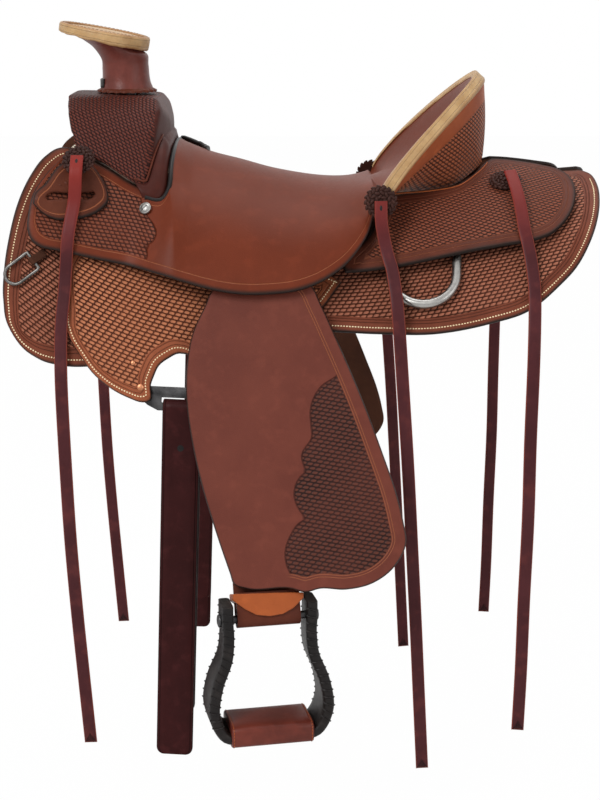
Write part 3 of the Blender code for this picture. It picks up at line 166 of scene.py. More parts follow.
# Node groups that several finishes share.
def newGroup(name, inputs, outputs):
    tree = bpy.data.node_groups.new(name, "ShaderNodeTree")
    for label, kind, value in inputs:
        socket = tree.interface.new_socket(name=label, in_out="INPUT", socket_type=f"NodeSocket{kind}")
        if value is not None:
            socket.default_value = value
    for label in outputs:
        tree.interface.new_socket(name=label, in_out="OUTPUT", socket_type="NodeSocketFloat")
    return tree, put(tree, "NodeGroupInput").outputs, put(tree, "NodeGroupOutput").inputs


def basketStampGroup():
    # Rows of oblong cushions, each row half a stamp along, with slanted ends.
    tree, given, out = newGroup("basketStamp", (
        ("Vector", "Vector", None), ("Width", "Float", 0.0074), ("Tall", "Float", 0.0046),
        ("Turn", "Float", 0.0)), ("Height", "LitTops"))
    turned = put(tree, "ShaderNodeVectorRotate", {"Vector": given["Vector"], "Angle": given["Turn"]},
                 rotation_type="Z_AXIS").outputs[0]
    flat = put(tree, "ShaderNodeSeparateXYZ", {0: turned}).outputs
    row = calc(tree, "DIVIDE", flat[1], given["Tall"])
    across = less(tree, calc(tree, "FRACT", row), 0.5)
    half = times(tree, calc(tree, "FLOORED_MODULO", calc(tree, "FLOOR", row), 2.0), 0.5)
    column = plus(tree, calc(tree, "DIVIDE", flat[0], given["Width"]), half)
    column = plus(tree, column, times(tree, across, 0.34))
    along = less(tree, calc(tree, "FRACT", column), 0.5)
    high = calc(tree, "POWER", calc(tree, "COSINE", times(tree, across, math.pi)), 0.55)
    low = calc(tree, "POWER", calc(tree, "COSINE", times(tree, along, math.pi)), 0.36)
    height = times(tree, high, low)
    tree.links.new(height, out["Height"])
    # Tops: a painted highlight on each cushion's raised middle, brighter towards one end, with painted shade
    # at the other end and in the hollows.
    tops = times(tree, rampTo(tree, height, 0.42, 0.90), rampTo(tree, along, -0.5, 0.4, 0.62, 1.0))
    tree.links.new(tops, out["LitTops"])
    return tree


def leatherGrainGroup():
    tree, given, out = newGroup("leatherGrain", (
        ("Vector", "Vector", None), ("Pores", "Float", 900.0), ("Cloud", "Float", 14.0)),
        ("Height", "Tone", "Fine"))
    pores = put(tree, "ShaderNodeTexVoronoi", {"Vector": given["Vector"], "Scale": given["Pores"]},
                feature="F1").outputs["Distance"]
    creased = put(tree, "ShaderNodeTexNoise", {"Vector": given["Vector"], "Scale": 260.0, "Detail": 4.0})
    cloud = put(tree, "ShaderNodeTexNoise",
                {"Vector": given["Vector"], "Scale": given["Cloud"], "Detail": 5.0,
                "Roughness": 0.62})
    height = plus(tree, times(tree, pores, 0.6), times(tree, creased.outputs[0], 0.5))
    tree.links.new(height, out["Height"])
    tree.links.new(rampTo(tree, cloud.outputs[0], 0.30, 0.70), out["Tone"])
    tree.links.new(creased.outputs[0], out["Fine"])
    return tree


def edgeMarksGroup():
    # From the distance to a sheet's edge: a dark band along it, which on the leathers is the dyed edge with
    # painted shade beside it, and two creased lines.
    tree, given, out = newGroup("edgeMarks", (
        ("Distance", "Float", 0.1), ("EdgeBand", "Float", 0.0016), ("First", "Float", 0.004),
        ("Second", "Float", 0.012), ("Line", "Float", 0.0009)), ("Edge", "Creases"))
    edge = less(tree, 1.0, rampTo(tree, given["Distance"], 0.0002, given["EdgeBand"]))
    lines = []
    for label in ("First", "Second"):
        off = calc(tree, "ABSOLUTE", less(tree, given["Distance"], given[label]))
        lines.append(less(tree, 1.0, rampTo(tree, off, 0.0, given["Line"])))
    tree.links.new(edge, out["Edge"])
    tree.links.new(calc(tree, "MAXIMUM", *lines), out["Creases"])
    return tree


def rubbedGroup():
    tree, given, out = newGroup("rubbedAndDusty", (("Vector", "Vector", None), ("Scale", "Float", 60.0)),
                                ("Rubbed", "Dust"))
    worn = put(tree, "ShaderNodeTexNoise",
               {"Vector": given["Vector"], "Scale": given["Scale"], "Detail": 6.0})
    dust = put(tree, "ShaderNodeTexNoise", {"Vector": given["Vector"], "Scale": 420.0, "Detail": 2.0})
    tree.links.new(rampTo(tree, worn.outputs[0], 0.50, 0.72), out["Rubbed"])
    tree.links.new(rampTo(tree, dust.outputs[0], 0.60, 0.75), out["Dust"])
    return tree


groups = {"stamp": basketStampGroup(), "grain": leatherGrainGroup(), "edge": edgeMarksGroup(),
          "rubbed": rubbedGroup()}


def useGroup(tree, name, links):
    return put(tree, "ShaderNodeGroup", links, node_tree=groups[name]).outputs


def bodyPoint(tree):
    return put(tree, "ShaderNodeTexCoord").outputs["Object"]


def partsOf(tree, vector):
    return put(tree, "ShaderNodeSeparateXYZ", {0: vector}).outputs


def mapOf(tree, label):
    return put(tree, "ShaderNodeUVMap", uv_map=label).outputs[0]


def dress(tree, shader, colour, roughness, height, more=()):
    bump = put(tree, "ShaderNodeBump", {"Height": height, "Strength": 1.0, "Distance": 1.0})
    feed(tree, shader, {"Base Color": colour, "Roughness": roughness, "Normal": bump.outputs[0],
                        **dict(more)})


def finish(name, metallic=0.0):
    made = bpy.data.materials.new(name)
    made.use_nodes = True
    shader = made.node_tree.nodes["Principled BSDF"]
    shader.inputs["Metallic"].default_value = metallic
    return made, made.node_tree, shader


def leather(name, base, shade, light=None, rough=0.42, grain=0.00010, edgeBandColour=(0.020, 0.014, 0.012),
            creases=None, stamp=None, panel=False, coat=0.02, mapped=True, upperTint=None, edgeWidth=0.0022,
            tone=0.8,
            gloss=0.08, creased=None):
    made, tree, shader = finish(name)
    body = bodyPoint(tree)
    skin = useGroup(tree, "grain", {"Vector": body})
    worn = useGroup(tree, "rubbed", {"Vector": body})
    light = light or tuple(min(1.0, c * 1.18) for c in base)
    colour = tint(tree, times(tree, skin["Tone"], tone), shade, base)
    colour = tint(tree, times(tree, worn["Rubbed"], 0.35), colour, light)
    height = times(tree, skin["Height"], grain)
    roughness = plus(tree, rough - 0.05, times(tree, skin["Fine"], 0.14))
    flat = mapOf(tree, "flat")
    marks = partsOf(tree, mapOf(tree, "marks"))
    far = marks[0]
    if stamp:
        pressed = useGroup(tree, "stamp", {"Vector": flat, "Width": stamp["width"], "Tall": stamp["tall"],
                                           "Turn": math.radians(stamp["turn"])})
        zone = rampTo(tree, far, stamp["inside"] - 0.0004, stamp["inside"] + 0.0004)
        if panel:
            past = partsOf(tree, mapOf(tree, "lines"))[0]
            zone = times(tree, zone, rampTo(tree, past, -0.0004, 0.0004))
        # Stamp colour: painted shade in the pressed hollows and a painted highlight on the cushions' tops.
        top = tint(tree, pressed["LitTops"], stamp["shadedHollow"], stamp["top"])
        top = tint(tree, times(tree, skin["Tone"], 0.22), top, colour)
        colour = tint(tree, zone, colour, top)
        pressedHeight = times(tree, pressed["Height"], stamp["depth"])
        pressedHeight = less(tree, pressedHeight, stamp["depth"])
        height = plus(tree, height, times(tree, pressedHeight, zone))
        if panel:
            near = less(tree, 1.0, rampTo(tree, calc(tree, "ABSOLUTE", past), 0.0003, 0.0014))
            near = times(tree, near, rampTo(tree, far, stamp["inside"] - 0.002, stamp["inside"]))
            colour = tint(tree, times(tree, near, 0.7), colour, tuple(c * 0.35 for c in shade))
            height = less(tree, height, times(tree, near, 0.0008))
    if mapped:
        edge = useGroup(tree, "edge", {"Distance": far, "EdgeBand": edgeWidth,
                                       "First": (creases or (9.0, 9.0))[0],
                                       "Second": (creases or (9.0, 9.0))[1]})
        shown = times(tree, edge["Creases"], less(tree, 1.0, marks[1]))
        colour = tint(tree, times(tree, shown, 0.75), colour, creased or tuple(c * 0.38 for c in shade))
        height = less(tree, height, times(tree, shown, 0.0005))
        # The edge band: the dyed edge, widened on the seat, rear jockeys and skirts into painted shade for
        # the edge's thickness and the shadow under it.
        if edgeBandColour:
            colour = tint(tree, edge["Edge"], colour, edgeBandColour)
    # The colour blends towards a redder one upwards, between the heights low and high.
    if upperTint:
        z = partsOf(tree, body)[2]
        colour = tint(tree, rampTo(tree, z, upperTint["low"], upperTint["high"]), colour, upperTint["colour"])
    dress(tree, shader, colour, roughness, height, {"Coat Weight": coat, "Coat Roughness": 0.30,
                                                    "Specular IOR Level": gloss})
    return made


def metal(name, base, shade, rough, scratch=0.00002, cloud=40.0):
    made, tree, shader = finish(name, 1.0)
    body = bodyPoint(tree)
    skin = useGroup(tree, "grain", {"Vector": body, "Cloud": cloud})
    worn = useGroup(tree, "rubbed", {"Vector": body, "Scale": 140.0})
    colour = tint(tree, skin["Tone"], shade, base)
    colour = tint(tree, times(tree, worn["Dust"], 0.4), colour, tuple(c * 0.5 for c in shade))
    roughness = plus(tree, rough, times(tree, worn["Rubbed"], 0.18))
    dress(tree, shader, colour, roughness, times(tree, skin["Fine"], scratch))
    return made


def rawhideFinish(name, base, shade):
    made, tree, shader = finish(name)
    body = bodyPoint(tree)
    skin = useGroup(tree, "grain", {"Vector": body, "Pores": 420.0, "Cloud": 55.0})
    worn = useGroup(tree, "rubbed", {"Vector": body, "Scale": 110.0})
    far = partsOf(tree, mapOf(tree, "marks"))[0]
    edge = useGroup(tree, "edge",
                    {"Distance": far, "EdgeBand": 0.0030, "First": 0.0036, "Second": 9.0, "Line": 0.0006})
    colour = tint(tree, skin["Tone"], shade, base)
    colour = tint(tree, times(tree, worn["Rubbed"], 0.35), colour, tuple(c * 0.62 for c in shade))
    colour = tint(tree, times(tree, edge["Edge"], 0.55), colour, (0.30, 0.13, 0.05))
    colour = tint(tree, times(tree, edge["Creases"], 0.5), colour, (0.25, 0.12, 0.05))
    height = times(tree, skin["Height"], 0.00022)
    height = less(tree, height, times(tree, edge["Creases"], 0.0004))
    roughness = plus(tree, 0.36, times(tree, skin["Fine"], 0.2))
    dress(tree, shader, colour, roughness, height, {"Subsurface Weight": 0.06,
                                                    "Subsurface Radius": (0.004, 0.002, 0.001)})
    return made


def woolFinish():
    made, tree, shader = finish("woolskin")
    body = bodyPoint(tree)
    curls = put(tree, "ShaderNodeTexVoronoi", {"Vector": body, "Scale": 190.0},
                feature="F1").outputs["Distance"]
    skin = useGroup(tree, "grain", {"Vector": body, "Pores": 1300.0, "Cloud": 30.0})
    # Lighter at each curl's middle and darker between curls: painted shade in the dips of the fleece.
    colour = tint(tree, rampTo(tree, curls, 0.0, 0.7), (0.80, 0.71, 0.56), (0.46, 0.37, 0.25))
    colour = tint(tree, times(tree, skin["Tone"], 0.4), colour, (0.86, 0.79, 0.66))
    height = times(tree, less(tree, skin["Fine"], curls), 0.0016)
    dress(tree, shader, colour, 0.95, height, {"Sheen Weight": 0.4})
    return made


def shadeDarkWoodFinish():
    # Dark wood colour: painted shade, so that the tree reads as shadow in the gaps where it shows.
    made, tree, shader = finish("treeWoodShadeDark")
    body = bodyPoint(tree)
    stretched = put(tree, "ShaderNodeMapping", {"Vector": body, "Scale": (6.0, 60.0, 60.0)}).outputs[0]
    rings = put(tree, "ShaderNodeTexNoise", {"Vector": stretched, "Scale": 2.0, "Detail": 6.0}).outputs[0]
    colour = tint(tree, rampTo(tree, rings, 0.35, 0.65), (0.052, 0.024, 0.014), (0.095, 0.048, 0.028))
    dress(tree, shader, colour, rampTo(tree, rings, 0.3, 0.7, 0.5, 0.68), times(tree, rings, 0.0006))
    return made


# Stamp colours: the hollow colours are painted shade, the top colours painted highlights.
stampBig = {"width": 0.0074, "tall": 0.0046, "turn": 7.0, "inside": 0.0185, "depth": 0.0014,
            "shadedHollow": (0.052, 0.014, 0.007), "top": (0.390, 0.130, 0.058)}
stampSmall = dict(stampBig, width=0.0052, tall=0.0034, turn=-24.0, inside=0.0150, depth=0.0010,
                  shadedHollow=(0.030, 0.009, 0.006), top=(0.225, 0.066, 0.036))
orangeLine = (0.330, 0.105, 0.045)
looks = {
    "seat": leather("seatLeatherBrown", (0.156, 0.031, 0.013), (0.122, 0.024, 0.010), rough=0.40, tone=0.6,
                    creases=(0.0115, 9.0), edgeWidth=0.0062,
                    stamp=dict(stampSmall, inside=0.0135, turn=9.0, width=0.0060,
                                                                         tall=0.0039),
                    panel=True, creased=orangeLine),
    "dark": leather("stampedDarkBrown", (0.120, 0.031, 0.017), (0.080, 0.021, 0.012),
                    creases=(0.0085, 0.0135),
                    stamp=dict(stampSmall, width=0.0062, tall=0.0039, top=(0.290, 0.082, 0.042)),
                    edgeWidth=0.0054,
                    creased=(0.190, 0.058, 0.028)),
    "fork": leather("forkStamped", (0.068, 0.016, 0.011), (0.048, 0.012, 0.009), edgeBandColour=None,
                    stamp=dict(stampSmall, inside=0.0, turn=38.0, width=0.0056, tall=0.0036,
                               shadedHollow=(0.020, 0.006, 0.005), top=(0.140, 0.034, 0.022))),
    "cantle": leather("cantleBackLeather", (0.430, 0.112, 0.042), (0.290, 0.072, 0.030), edgeBandColour=None,
                      stamp=dict(stampSmall, inside=0.026, width=0.0066, tall=0.0042,
                                 shadedHollow=(0.050, 0.014, 0.008),
                                 top=(0.450, 0.135, 0.064)), creases=(0.026, 9.0), creased=orangeLine),
    "tan": leather("stampedOrangeBrown", (0.185, 0.050, 0.026), (0.130, 0.034, 0.018),
                   creases=(0.0125, 0.0160),
                   stamp=dict(stampBig, top=(0.430, 0.158, 0.094)), edgeWidth=0.0042),
    "rigging": leather("riggingStamped", (0.320, 0.094, 0.042), (0.235, 0.066, 0.030),
                       stamp=dict(stampBig, inside=0.0150, turn=10.0, top=(0.580, 0.215, 0.105),
                                  shadedHollow=(0.070, 0.018, 0.009)),
                       creases=(0.0090, 0.0132), edgeWidth=0.0026),
    "keeper": leather("keeperLeather", (0.115, 0.031, 0.016), (0.075, 0.020, 0.011), creases=(0.0050, 9.0),
                      edgeWidth=0.0032,
                      creased=orangeLine),
    "fender": leather("fenderBrown", (0.162, 0.042, 0.027), (0.122, 0.030, 0.020), rough=0.38, tone=0.6,
                      creases=(0.0130, 0.0158),
                      stamp=dict(stampSmall, inside=0.0170, turn=-10.0, width=0.0072, tall=0.0045,
                                                           shadedHollow=(0.018, 0.006, 0.005),
                                 top=(0.118, 0.036, 0.023)),
                      panel=True, gloss=0.12, edgeWidth=0.0026, creased=orangeLine),
    "strapping": leather("strapBrown", (0.118, 0.030, 0.016), (0.085, 0.021, 0.012), mapped=False),
    "flesh": leather("fleshSide", (0.075, 0.028, 0.016), (0.052, 0.020, 0.012), rough=0.8, grain=0.0003,
                     mapped=False, coat=0.0),
    "neck": leather("hornNeckLeather", (0.190, 0.046, 0.034), (0.085, 0.020, 0.014), mapped=False,
                    grain=0.0002, rough=0.32,
                    gloss=0.22),
    "latigo": leather("latigoBurgundy", (0.046, 0.010, 0.010), (0.030, 0.007, 0.007), creases=(0.0030, 9.0),
                      edgeWidth=0.0012, light=(0.085, 0.020, 0.020), gloss=0.05),
    "string": leather("stringBurgundy", (0.086, 0.022, 0.025), (0.058, 0.015, 0.017), rough=0.40,
                      light=(0.150, 0.034, 0.030), edgeBandColour=(0.240, 0.048, 0.030), edgeWidth=0.0014,
                      upperTint={"low": -0.055, "high": 0.075, "colour": (0.225, 0.028, 0.022)}),
    "hobble": leather("hobbleOrange", (0.430, 0.105, 0.028), (0.330, 0.076, 0.021), rough=0.34,
                      mapped=False, gloss=0.15),
    "black": leather("blackLeather", (0.016, 0.012, 0.011), (0.008, 0.007, 0.007), rough=0.36, grain=0.00018,
                     mapped=False, light=(0.045, 0.036, 0.032), gloss=0.16),
    "braid": leather("braidedLeather", (0.062, 0.024, 0.018), (0.026, 0.011, 0.009), rough=0.40,
                     mapped=False,
                     light=(0.110, 0.044, 0.032)),
    "tread": leather("treadBrown", (0.175, 0.034, 0.021), (0.095, 0.019, 0.012), rough=0.34, mapped=False,
                     gloss=0.2),
    "rawhide": rawhideFinish("rawhideCream", (0.560, 0.360, 0.165), (0.400, 0.230, 0.090)),
    "thread": leather("waxedThread", (0.950, 0.780, 0.520), (0.860, 0.640, 0.380), rough=0.5, mapped=False,
                      coat=0.0),
    "steel": metal("stainlessSteel", (0.40, 0.39, 0.37), (0.26, 0.25, 0.24), 0.30),
    "dullSteel": metal("dullSteel", (0.20, 0.19, 0.18), (0.085, 0.080, 0.074), 0.36),
    "iron": metal("bluedSteel", (0.085, 0.083, 0.084), (0.030, 0.029, 0.030), 0.36),
    "copper": metal("copperRivet", (0.720, 0.330, 0.180), (0.420, 0.170, 0.085), 0.34),
    "wool": woolFinish(),
    "wood": shadeDarkWoodFinish(),
}
print("finishes ready")

# The horse's back under the saddle, and how far each ply lies above it.
back = {"front": -0.33, "rear": 0.33, "spine": 0.022, "withers": 0.223, "croup": 0.018,
        "slopes": (50.0, 30.0, 10.0), "curls": (1.3, 2.2, 4.0)}
gap = 0.0008
ply = {"fleece": 0.011, "skirt": 0.005, "rigging": 0.0045, "bar": 0.0105, "seat": 0.005, "jockey": 0.0045,
       "fender": 0.0045, "keeper": 0.004, "cantleBack": 0.004, "binding": 0.004, "bindingWidth": 0.014}
overSkirt = ply["skirt"] + gap
overBar = overSkirt + ply["bar"] + gap
lobeLift = overBar + ply["seat"] + 0.003
fenderLift = 0.046
overDee = overBar + 0.0027
jockeyEdge = overSkirt + 0.004
keeperLift = lobeLift + 2 * gap
hang = {"tilt": math.radians(20.0), "x": -0.030, "y": 0.1774, "z": -0.072, "leatherX": -0.036,
        "twist": math.radians(12.0), "boltDrop": 0.3765, "boltOff": -0.0120}


def between(start, end, value):
    t = min(1.0, max(0.0, (value - start) / (end - start)))
    return t * t * (3 - 2 * t)


def alongThree(values, t):
    first, middle, last = values
    return first * (1 - t) * (1 - 2 * t) + middle * 4 * t * (1 - t) + last * t * (2 * t - 1)


def backShape(x):
    t = (x - back["front"]) / (back["rear"] - back["front"])
    ridge = back["spine"] + back["withers"] * max(0.0, 1 - t) ** 3 + back["croup"] * max(0.0, t) ** 3
    return ridge, math.radians(alongThree(back["slopes"], t)), alongThree(back["curls"], t)


def sideAngle(x, z):
    ridge, slope, curl = backShape(x)
    turned = math.cos(slope) + curl * (z - ridge)
    angle = math.acos(max(-0.2, min(math.cos(slope), turned)))
    return angle, (math.sin(angle) - math.sin(slope)) / curl


def arcOf(x, z):
    _, slope, curl = backShape(x)
    return (sideAngle(x, z)[0] - slope) / curl


def heightAt(x, arc):
    ridge, slope, curl = backShape(x)
    return ridge + (math.cos(slope + curl * arc) - math.cos(slope)) / curl


def onBack(x, z, lift, side):
    angle, reach = sideAngle(x, z)
    return Vector((x, side * (reach + lift * math.sin(angle)), z + lift * math.cos(angle)))


def backNormal(x, z, side):
    angle = sideAngle(x, z)[0]
    return Vector((0.0, side * math.sin(angle), math.cos(angle)))


def hung(x, drop, off, side):
    return Vector((x, side * (hang["y"] + drop * math.sin(hang["tilt"]) + off * math.cos(hang["tilt"])),
                   hang["z"] - drop * math.cos(hang["tilt"]) + off * math.sin(hang["tilt"])))


def flatFrame(origin, along, ahead):
    along = along.normalized()
    ahead = (ahead - ahead.dot(along) * along).normalized()
    out = along.cross(ahead).normalized()
    if out.y * origin.y < 0:
        out = -out
    return lambda u, v, w=0.0: origin + along * u + ahead * v + out * w


def smoothRun(points, count):
    # Count points at even steps along a smooth curve through the given ones.
    points = [Vector(p) for p in points]
    ends = [2 * points[0] - points[1]] + points + [2 * points[-1] - points[-2]]
    fine = []
    for i in range(len(points) - 1):
        a, b, c, d = ends[i:i + 4]
        for j in range(12):
            t = j / 12
            fine.append(0.5 * (2 * b + (c - a) * t + (2 * a - 5 * b + 4 * c - d) * t * t
                               + (3 * b - a - 3 * c + d) * t ** 3))
    fine.append(points[-1])
    far = [0.0]
    for a, b in zip(fine, fine[1:]):
        far.append(far[-1] + (b - a).length)
    out = []
    at = 0
    for i in range(count):
        want = far[-1] * i / (count - 1)
        while at < len(far) - 2 and far[at + 1] < want:
            at += 1
        span = far[at + 1] - far[at] or 1.0
        out.append(fine[at].lerp(fine[at + 1], min(1.0, (want - far[at]) / span)))
    return out


def roundOutline(points, step, corner=52.0):
    # A closed outline with its bends rounded and its sharp corners kept.
    points = [Vector(p) for p in points]
    count = len(points)
    ways = []
    for i in range(count):
        before = points[i] - points[i - 1]
        after = points[(i + 1) % count] - points[i]
        if before.angle(after) > math.radians(corner):
            ways.append((before.normalized(), after.normalized()))
        else:
            mean = (before.normalized() * after.length + after.normalized() * before.length).normalized()
            ways.append((mean, mean))
    out = []
    for i in range(count):
        a, b = points[i], points[(i + 1) % count]
        length = (b - a).length
        first, last = ways[i][1] * length, ways[(i + 1) % count][0] * length
        steps = max(1, round(length / step))
        for j in range(steps):
            t = j / steps
            out.append(a * (2 * t ** 3 - 3 * t * t + 1) + first * (t ** 3 - 2 * t * t + t)
                       + b * (3 * t * t - 2 * t ** 3) + last * (t ** 3 - t * t))
    return [tuple(p) for p in out]


def insetLoop(loop, by):
    flat = np.array(loop)
    nextOne = np.roll(flat, -1, axis=0)
    area = np.sum(flat[:, 0] * nextOne[:, 1] - nextOne[:, 0] * flat[:, 1])
    way = nextOne - np.roll(flat, 1, axis=0)
    normal = np.stack([-way[:, 1], way[:, 0]], 1)
    normal /= np.maximum(1e-9, np.linalg.norm(normal, axis=1))[:, None]
    return flat + normal * by * (1.0 if area > 0 else -1.0)


def edgeDistance(points, loops):
    best = np.full(len(points), 9.0)
    for loop in loops:
        a = np.array(loop)
        b = np.roll(a, -1, axis=0)
        run = b - a
        for start in range(0, len(points), 1500):
            p = points[start:start + 1500, None, :] - a[None]
            t = np.clip((p * run).sum(2) / np.maximum(1e-12, (run ** 2).sum(1)), 0, 1)
            near = np.linalg.norm(p - t[..., None] * run, axis=2).min(1)
            best[start:start + 1500] = np.minimum(best[start:start + 1500], near)
    return best


def insideLoop(points, loop):
    a = np.array(loop)
    b = np.roll(a, -1, axis=0)
    x, y = points[:, 0][:, None], points[:, 1][:, None]
    crosses = (a[:, 1] > y) != (b[:, 1] > y)
    rise = np.where(np.abs(b[:, 1] - a[:, 1]) < 1e-12, 1e-12, b[:, 1] - a[:, 1])
    left = x < a[:, 0] + (y - a[:, 1]) * (b[:, 0] - a[:, 0]) / rise
    return (crosses & left).sum(1) % 2 == 1


def panelDistance(points, loop):
    # How far each point lies inside a panel's outline, below 0 outside.
    points = np.array(points, float)
    loop = roundOutline(loop, 0.003)
    far = edgeDistance(points, [loop]) * np.where(insideLoop(points, loop), 1.0, -1.0)
    return np.stack([far, np.zeros(len(points))], 1)


def addPiece(name, verts, faces, materials, body, slot, kinds=None, flats=None, marks=None, angle=50,
             lines=None):
    mesh = bpy.data.meshes.new(name)
    mesh.from_pydata([tuple(v) for v in verts], [], faces)
    for look in materials:
        mesh.materials.append(look)
    if kinds is not None:
        mesh.polygons.foreach_set("material_index", kinds)
    ends = np.zeros(len(mesh.loops), np.int32)
    mesh.loops.foreach_get("vertex_index", ends)
    for label, values in (("flat", flats), ("marks", marks), ("lines", lines)):
        layer = mesh.uv_layers.new(name=label)
        if values is not None:
            layer.data.foreach_set("uv", np.array(values, np.float32)[ends].ravel())
        elif label == "marks":
            layer.data.foreach_set("uv", np.full(len(ends) * 2, 0.05, np.float32))
    made = bpy.data.objects.new(name, mesh)
    shop.objects.link(made)
    mesh.shade_smooth()
    mesh.set_sharp_from_angle(angle=math.radians(angle))
    made["rideOn"], made["finishSlot"] = body, slot
    return made


def settle(made, *nodes):
    # The last step of every piece: it rides on its body, has its slot and stands for its CAD nodes.
    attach(made, made["rideOn"])
    if nodes:
        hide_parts(*nodes)
    return made


def fit(name, look, body, slot, parts, *nodes, angle=50):
    # A piece of one look, settled. Parts are its points and faces, and its maps where it has them.
    verts, faces, *maps = parts
    return settle(addPiece(name, verts, faces, [looks[look]], body, slot, None, *maps, angle=angle), *nodes)


def turned(count):
    return [2 * math.pi * j / count for j in range(count)]


def moved(place, parts):
    return [place @ v for v in parts[0]], parts[1]


def ringFaces(rings, count, loop=False, flip=False):
    # Faces between rings of points, with a cap at each end where the rings don't close.
    faces = []
    for i in range(rings if loop else rings - 1):
        m = (i + 1) % rings
        for j in range(count):
            k = (j + 1) % count
            faces.append((i * count + j, i * count + k, m * count + k, m * count + j))
    if not loop:
        faces += [tuple(range(count))[::-1], tuple((rings - 1) * count + j for j in range(count))]
    return [f[:1] + f[:0:-1] for f in faces] if flip else faces


def ringParts(rows):
    return [v for row in rows for v in row], ringFaces(len(rows), len(rows[0]))


def turnedOut(verts, faces, out):
    # Faces that look the way that they should: out is the outward way at the first one.
    a, b, c = (Vector(verts[i]) for i in faces[0][:3])
    return faces if (b - a).cross(c - a).dot(out) > 0 else [f[::-1] for f in faces]


def cutSheet(name, outline, thick, place, look, body, slot, grid=0.0075, holes=(), rounding=0.0013,
             marksFrom=None,
             outerMarks=False, panel=None):
    # A sheet of leather cut to an outline, with a rounded edge, bent to its place.
    loops = [roundOutline(outline, 0.004)] + [roundOutline(h, 0.002) for h in holes]
    points, edges = [], []
    rings = loops + [insetLoop(loop, rounding if i == 0 else -rounding) for i, loop in enumerate(loops)]
    for loop in rings:
        first = len(points)
        points += [tuple(p) for p in loop]
        edges += [(first + i, first + (i + 1) % len(loop)) for i in range(len(loop))]
    flat = np.array(loops[0])
    low, high = flat.min(0), flat.max(0)
    columns, rows = (int(n) + 2 for n in (high - low) / (grid, grid * 0.87))
    lattice = np.array([(low[0] + (i + 0.5 * (j % 2)) * grid, low[1] + j * grid * 0.87)
                        for j in range(rows) for i in range(columns)])
    keep = insideLoop(lattice, loops[0]) & (edgeDistance(lattice, loops) > grid * 0.55 + rounding)
    for hole in loops[1:]:
        keep &= ~insideLoop(lattice, hole)
    points += [tuple(p) for p in lattice[keep]]
    made = delaunay_2d_cdt([Vector(p) for p in points], edges, [], 1, 1e-6)
    spots = np.array([tuple(p) for p in made[0]])
    middles = np.array([spots[f].mean(0) for f in made[2]])
    good = insideLoop(middles, loops[0])
    for hole in loops[1:]:
        good &= ~insideLoop(middles, hole)
    tops = [tuple(f) for f, ok in zip(made[2], good) if ok]
    far = edgeDistance(spots, loops)
    rim = far < rounding * 0.5
    count = len(spots)
    verts = [place(p[0], p[1], thick * (0.62 if r else 1.0)) for p, r in zip(spots, rim)]
    verts += [place(p[0], p[1], thick * (0.22 if r else 0.0)) for p, r in zip(spots, rim)]
    used = {}
    for f in tops:
        for i in range(len(f)):
            used[(f[i], f[(i + 1) % len(f)])] = True
    walls = [(b, a, a + count, b + count) for a, b in used if (b, a) not in used]
    faces = tops + [tuple(i + count for i in f[::-1]) for f in tops] + walls
    a = tops[0][0]
    faces = turnedOut(verts, faces, verts[a] - verts[a + count])
    kinds = [0] * len(tops) + [1] * len(tops) + [0] * len(walls)
    if outerMarks:
        far = edgeDistance(spots, loops[:1])
    marks = np.stack([far, marksFrom(spots) if marksFrom else np.zeros(count)], 1)
    lines = panelDistance(np.concatenate([spots, spots]), panel) if panel else None
    return addPiece(name, verts, faces, [looks[look], looks["flesh"]], body, slot, kinds,
                    np.concatenate([spots, spots]), np.concatenate([marks, marks]), lines=lines)


def backSheet(name, outline, thick, side, lift, look, body, slot, **more):
    def place(x, arc, off):
        z = heightAt(x, arc)
        return onBack(x, z, lift(x, z) + off, side)
    holes = [[(x, arcOf(x, z)) for x, z in hole] for hole in more.pop("holes", ())]
    return cutSheet(name, [(x, arcOf(x, z)) for x, z in outline], thick, place, look, body, slot,
                    holes=holes, **more)


def evenSteps(line, step):
    # Points and ways at even steps along a line of points.
    out = []
    left = 0.0
    for a, b in zip(line, line[1:]):
        span = (b - a).length
        while left <= span:
            out.append((a.lerp(b, left / span if span else 0.0), (b - a).normalized()))
            left += step
        left -= span
    return out


def stitchRow(name, line, lift, body, slot, step=0.0033, long=0.0024, wide=0.0015, look="thread", slant=0.0):
    # Waxed stitches: line gives points on the leather's face, lift the way out of it.
    verts, faces = [], []
    for spot, way in evenSteps(line, step):
        out = lift(spot).normalized()
        across = way.cross(out).normalized()
        way = (way + across * slant).normalized()
        across = way.cross(out).normalized()
        first = len(verts)
        for u, v, w in ((-0.5, 0, -0.1), (-0.25, 0.5, 0.2), (-0.25, -0.5, 0.2), (-0.2, 0, 0.62),
                        (0.25, 0.5, 0.2),
                        (0.25, -0.5, 0.2), (0.2, 0, 0.62), (0.5, 0, -0.1)):
            verts.append(spot + way * u * long + across * v * wide + out * w * wide)
        faces += [tuple(first + i for i in f) for f in (
            (0, 1, 3), (0, 3, 2), (1, 4, 6, 3), (3, 6, 5, 2), (4, 7, 6), (6, 7, 5), (0, 2, 5, 7),
                                                        (0, 7, 4, 1))]
    return addPiece(name, verts, faces, [looks[look]], body, slot, angle=80)


def tubeParts(points, radii, turns=10, closed=False):
    # A round tube along points; its frame is carried from one ring to the next.
    verts = []
    count = len(points)
    wide = None
    for i, point in enumerate(points):
        before = points[i - 1] if i or closed else point
        after = points[(i + 1) % count] if i + 1 < count or closed else point
        way = (after - before).normalized()
        wide = way.orthogonal() if wide is None else wide - wide.dot(way) * way
        wide.normalize()
        deep = way.cross(wide)
        r = radii[i] if isinstance(radii, (list, tuple)) else radii
        verts += [point + (wide * math.cos(a) + deep * math.sin(a)) * r for a in turned(turns)]
    return verts, ringFaces(count, turns, closed)


def joinParts(parts):
    verts, faces = [], []
    for some, more in parts:
        first = len(verts)
        verts += some
        faces += [tuple(i + first for i in f) for f in more]
    return verts, faces


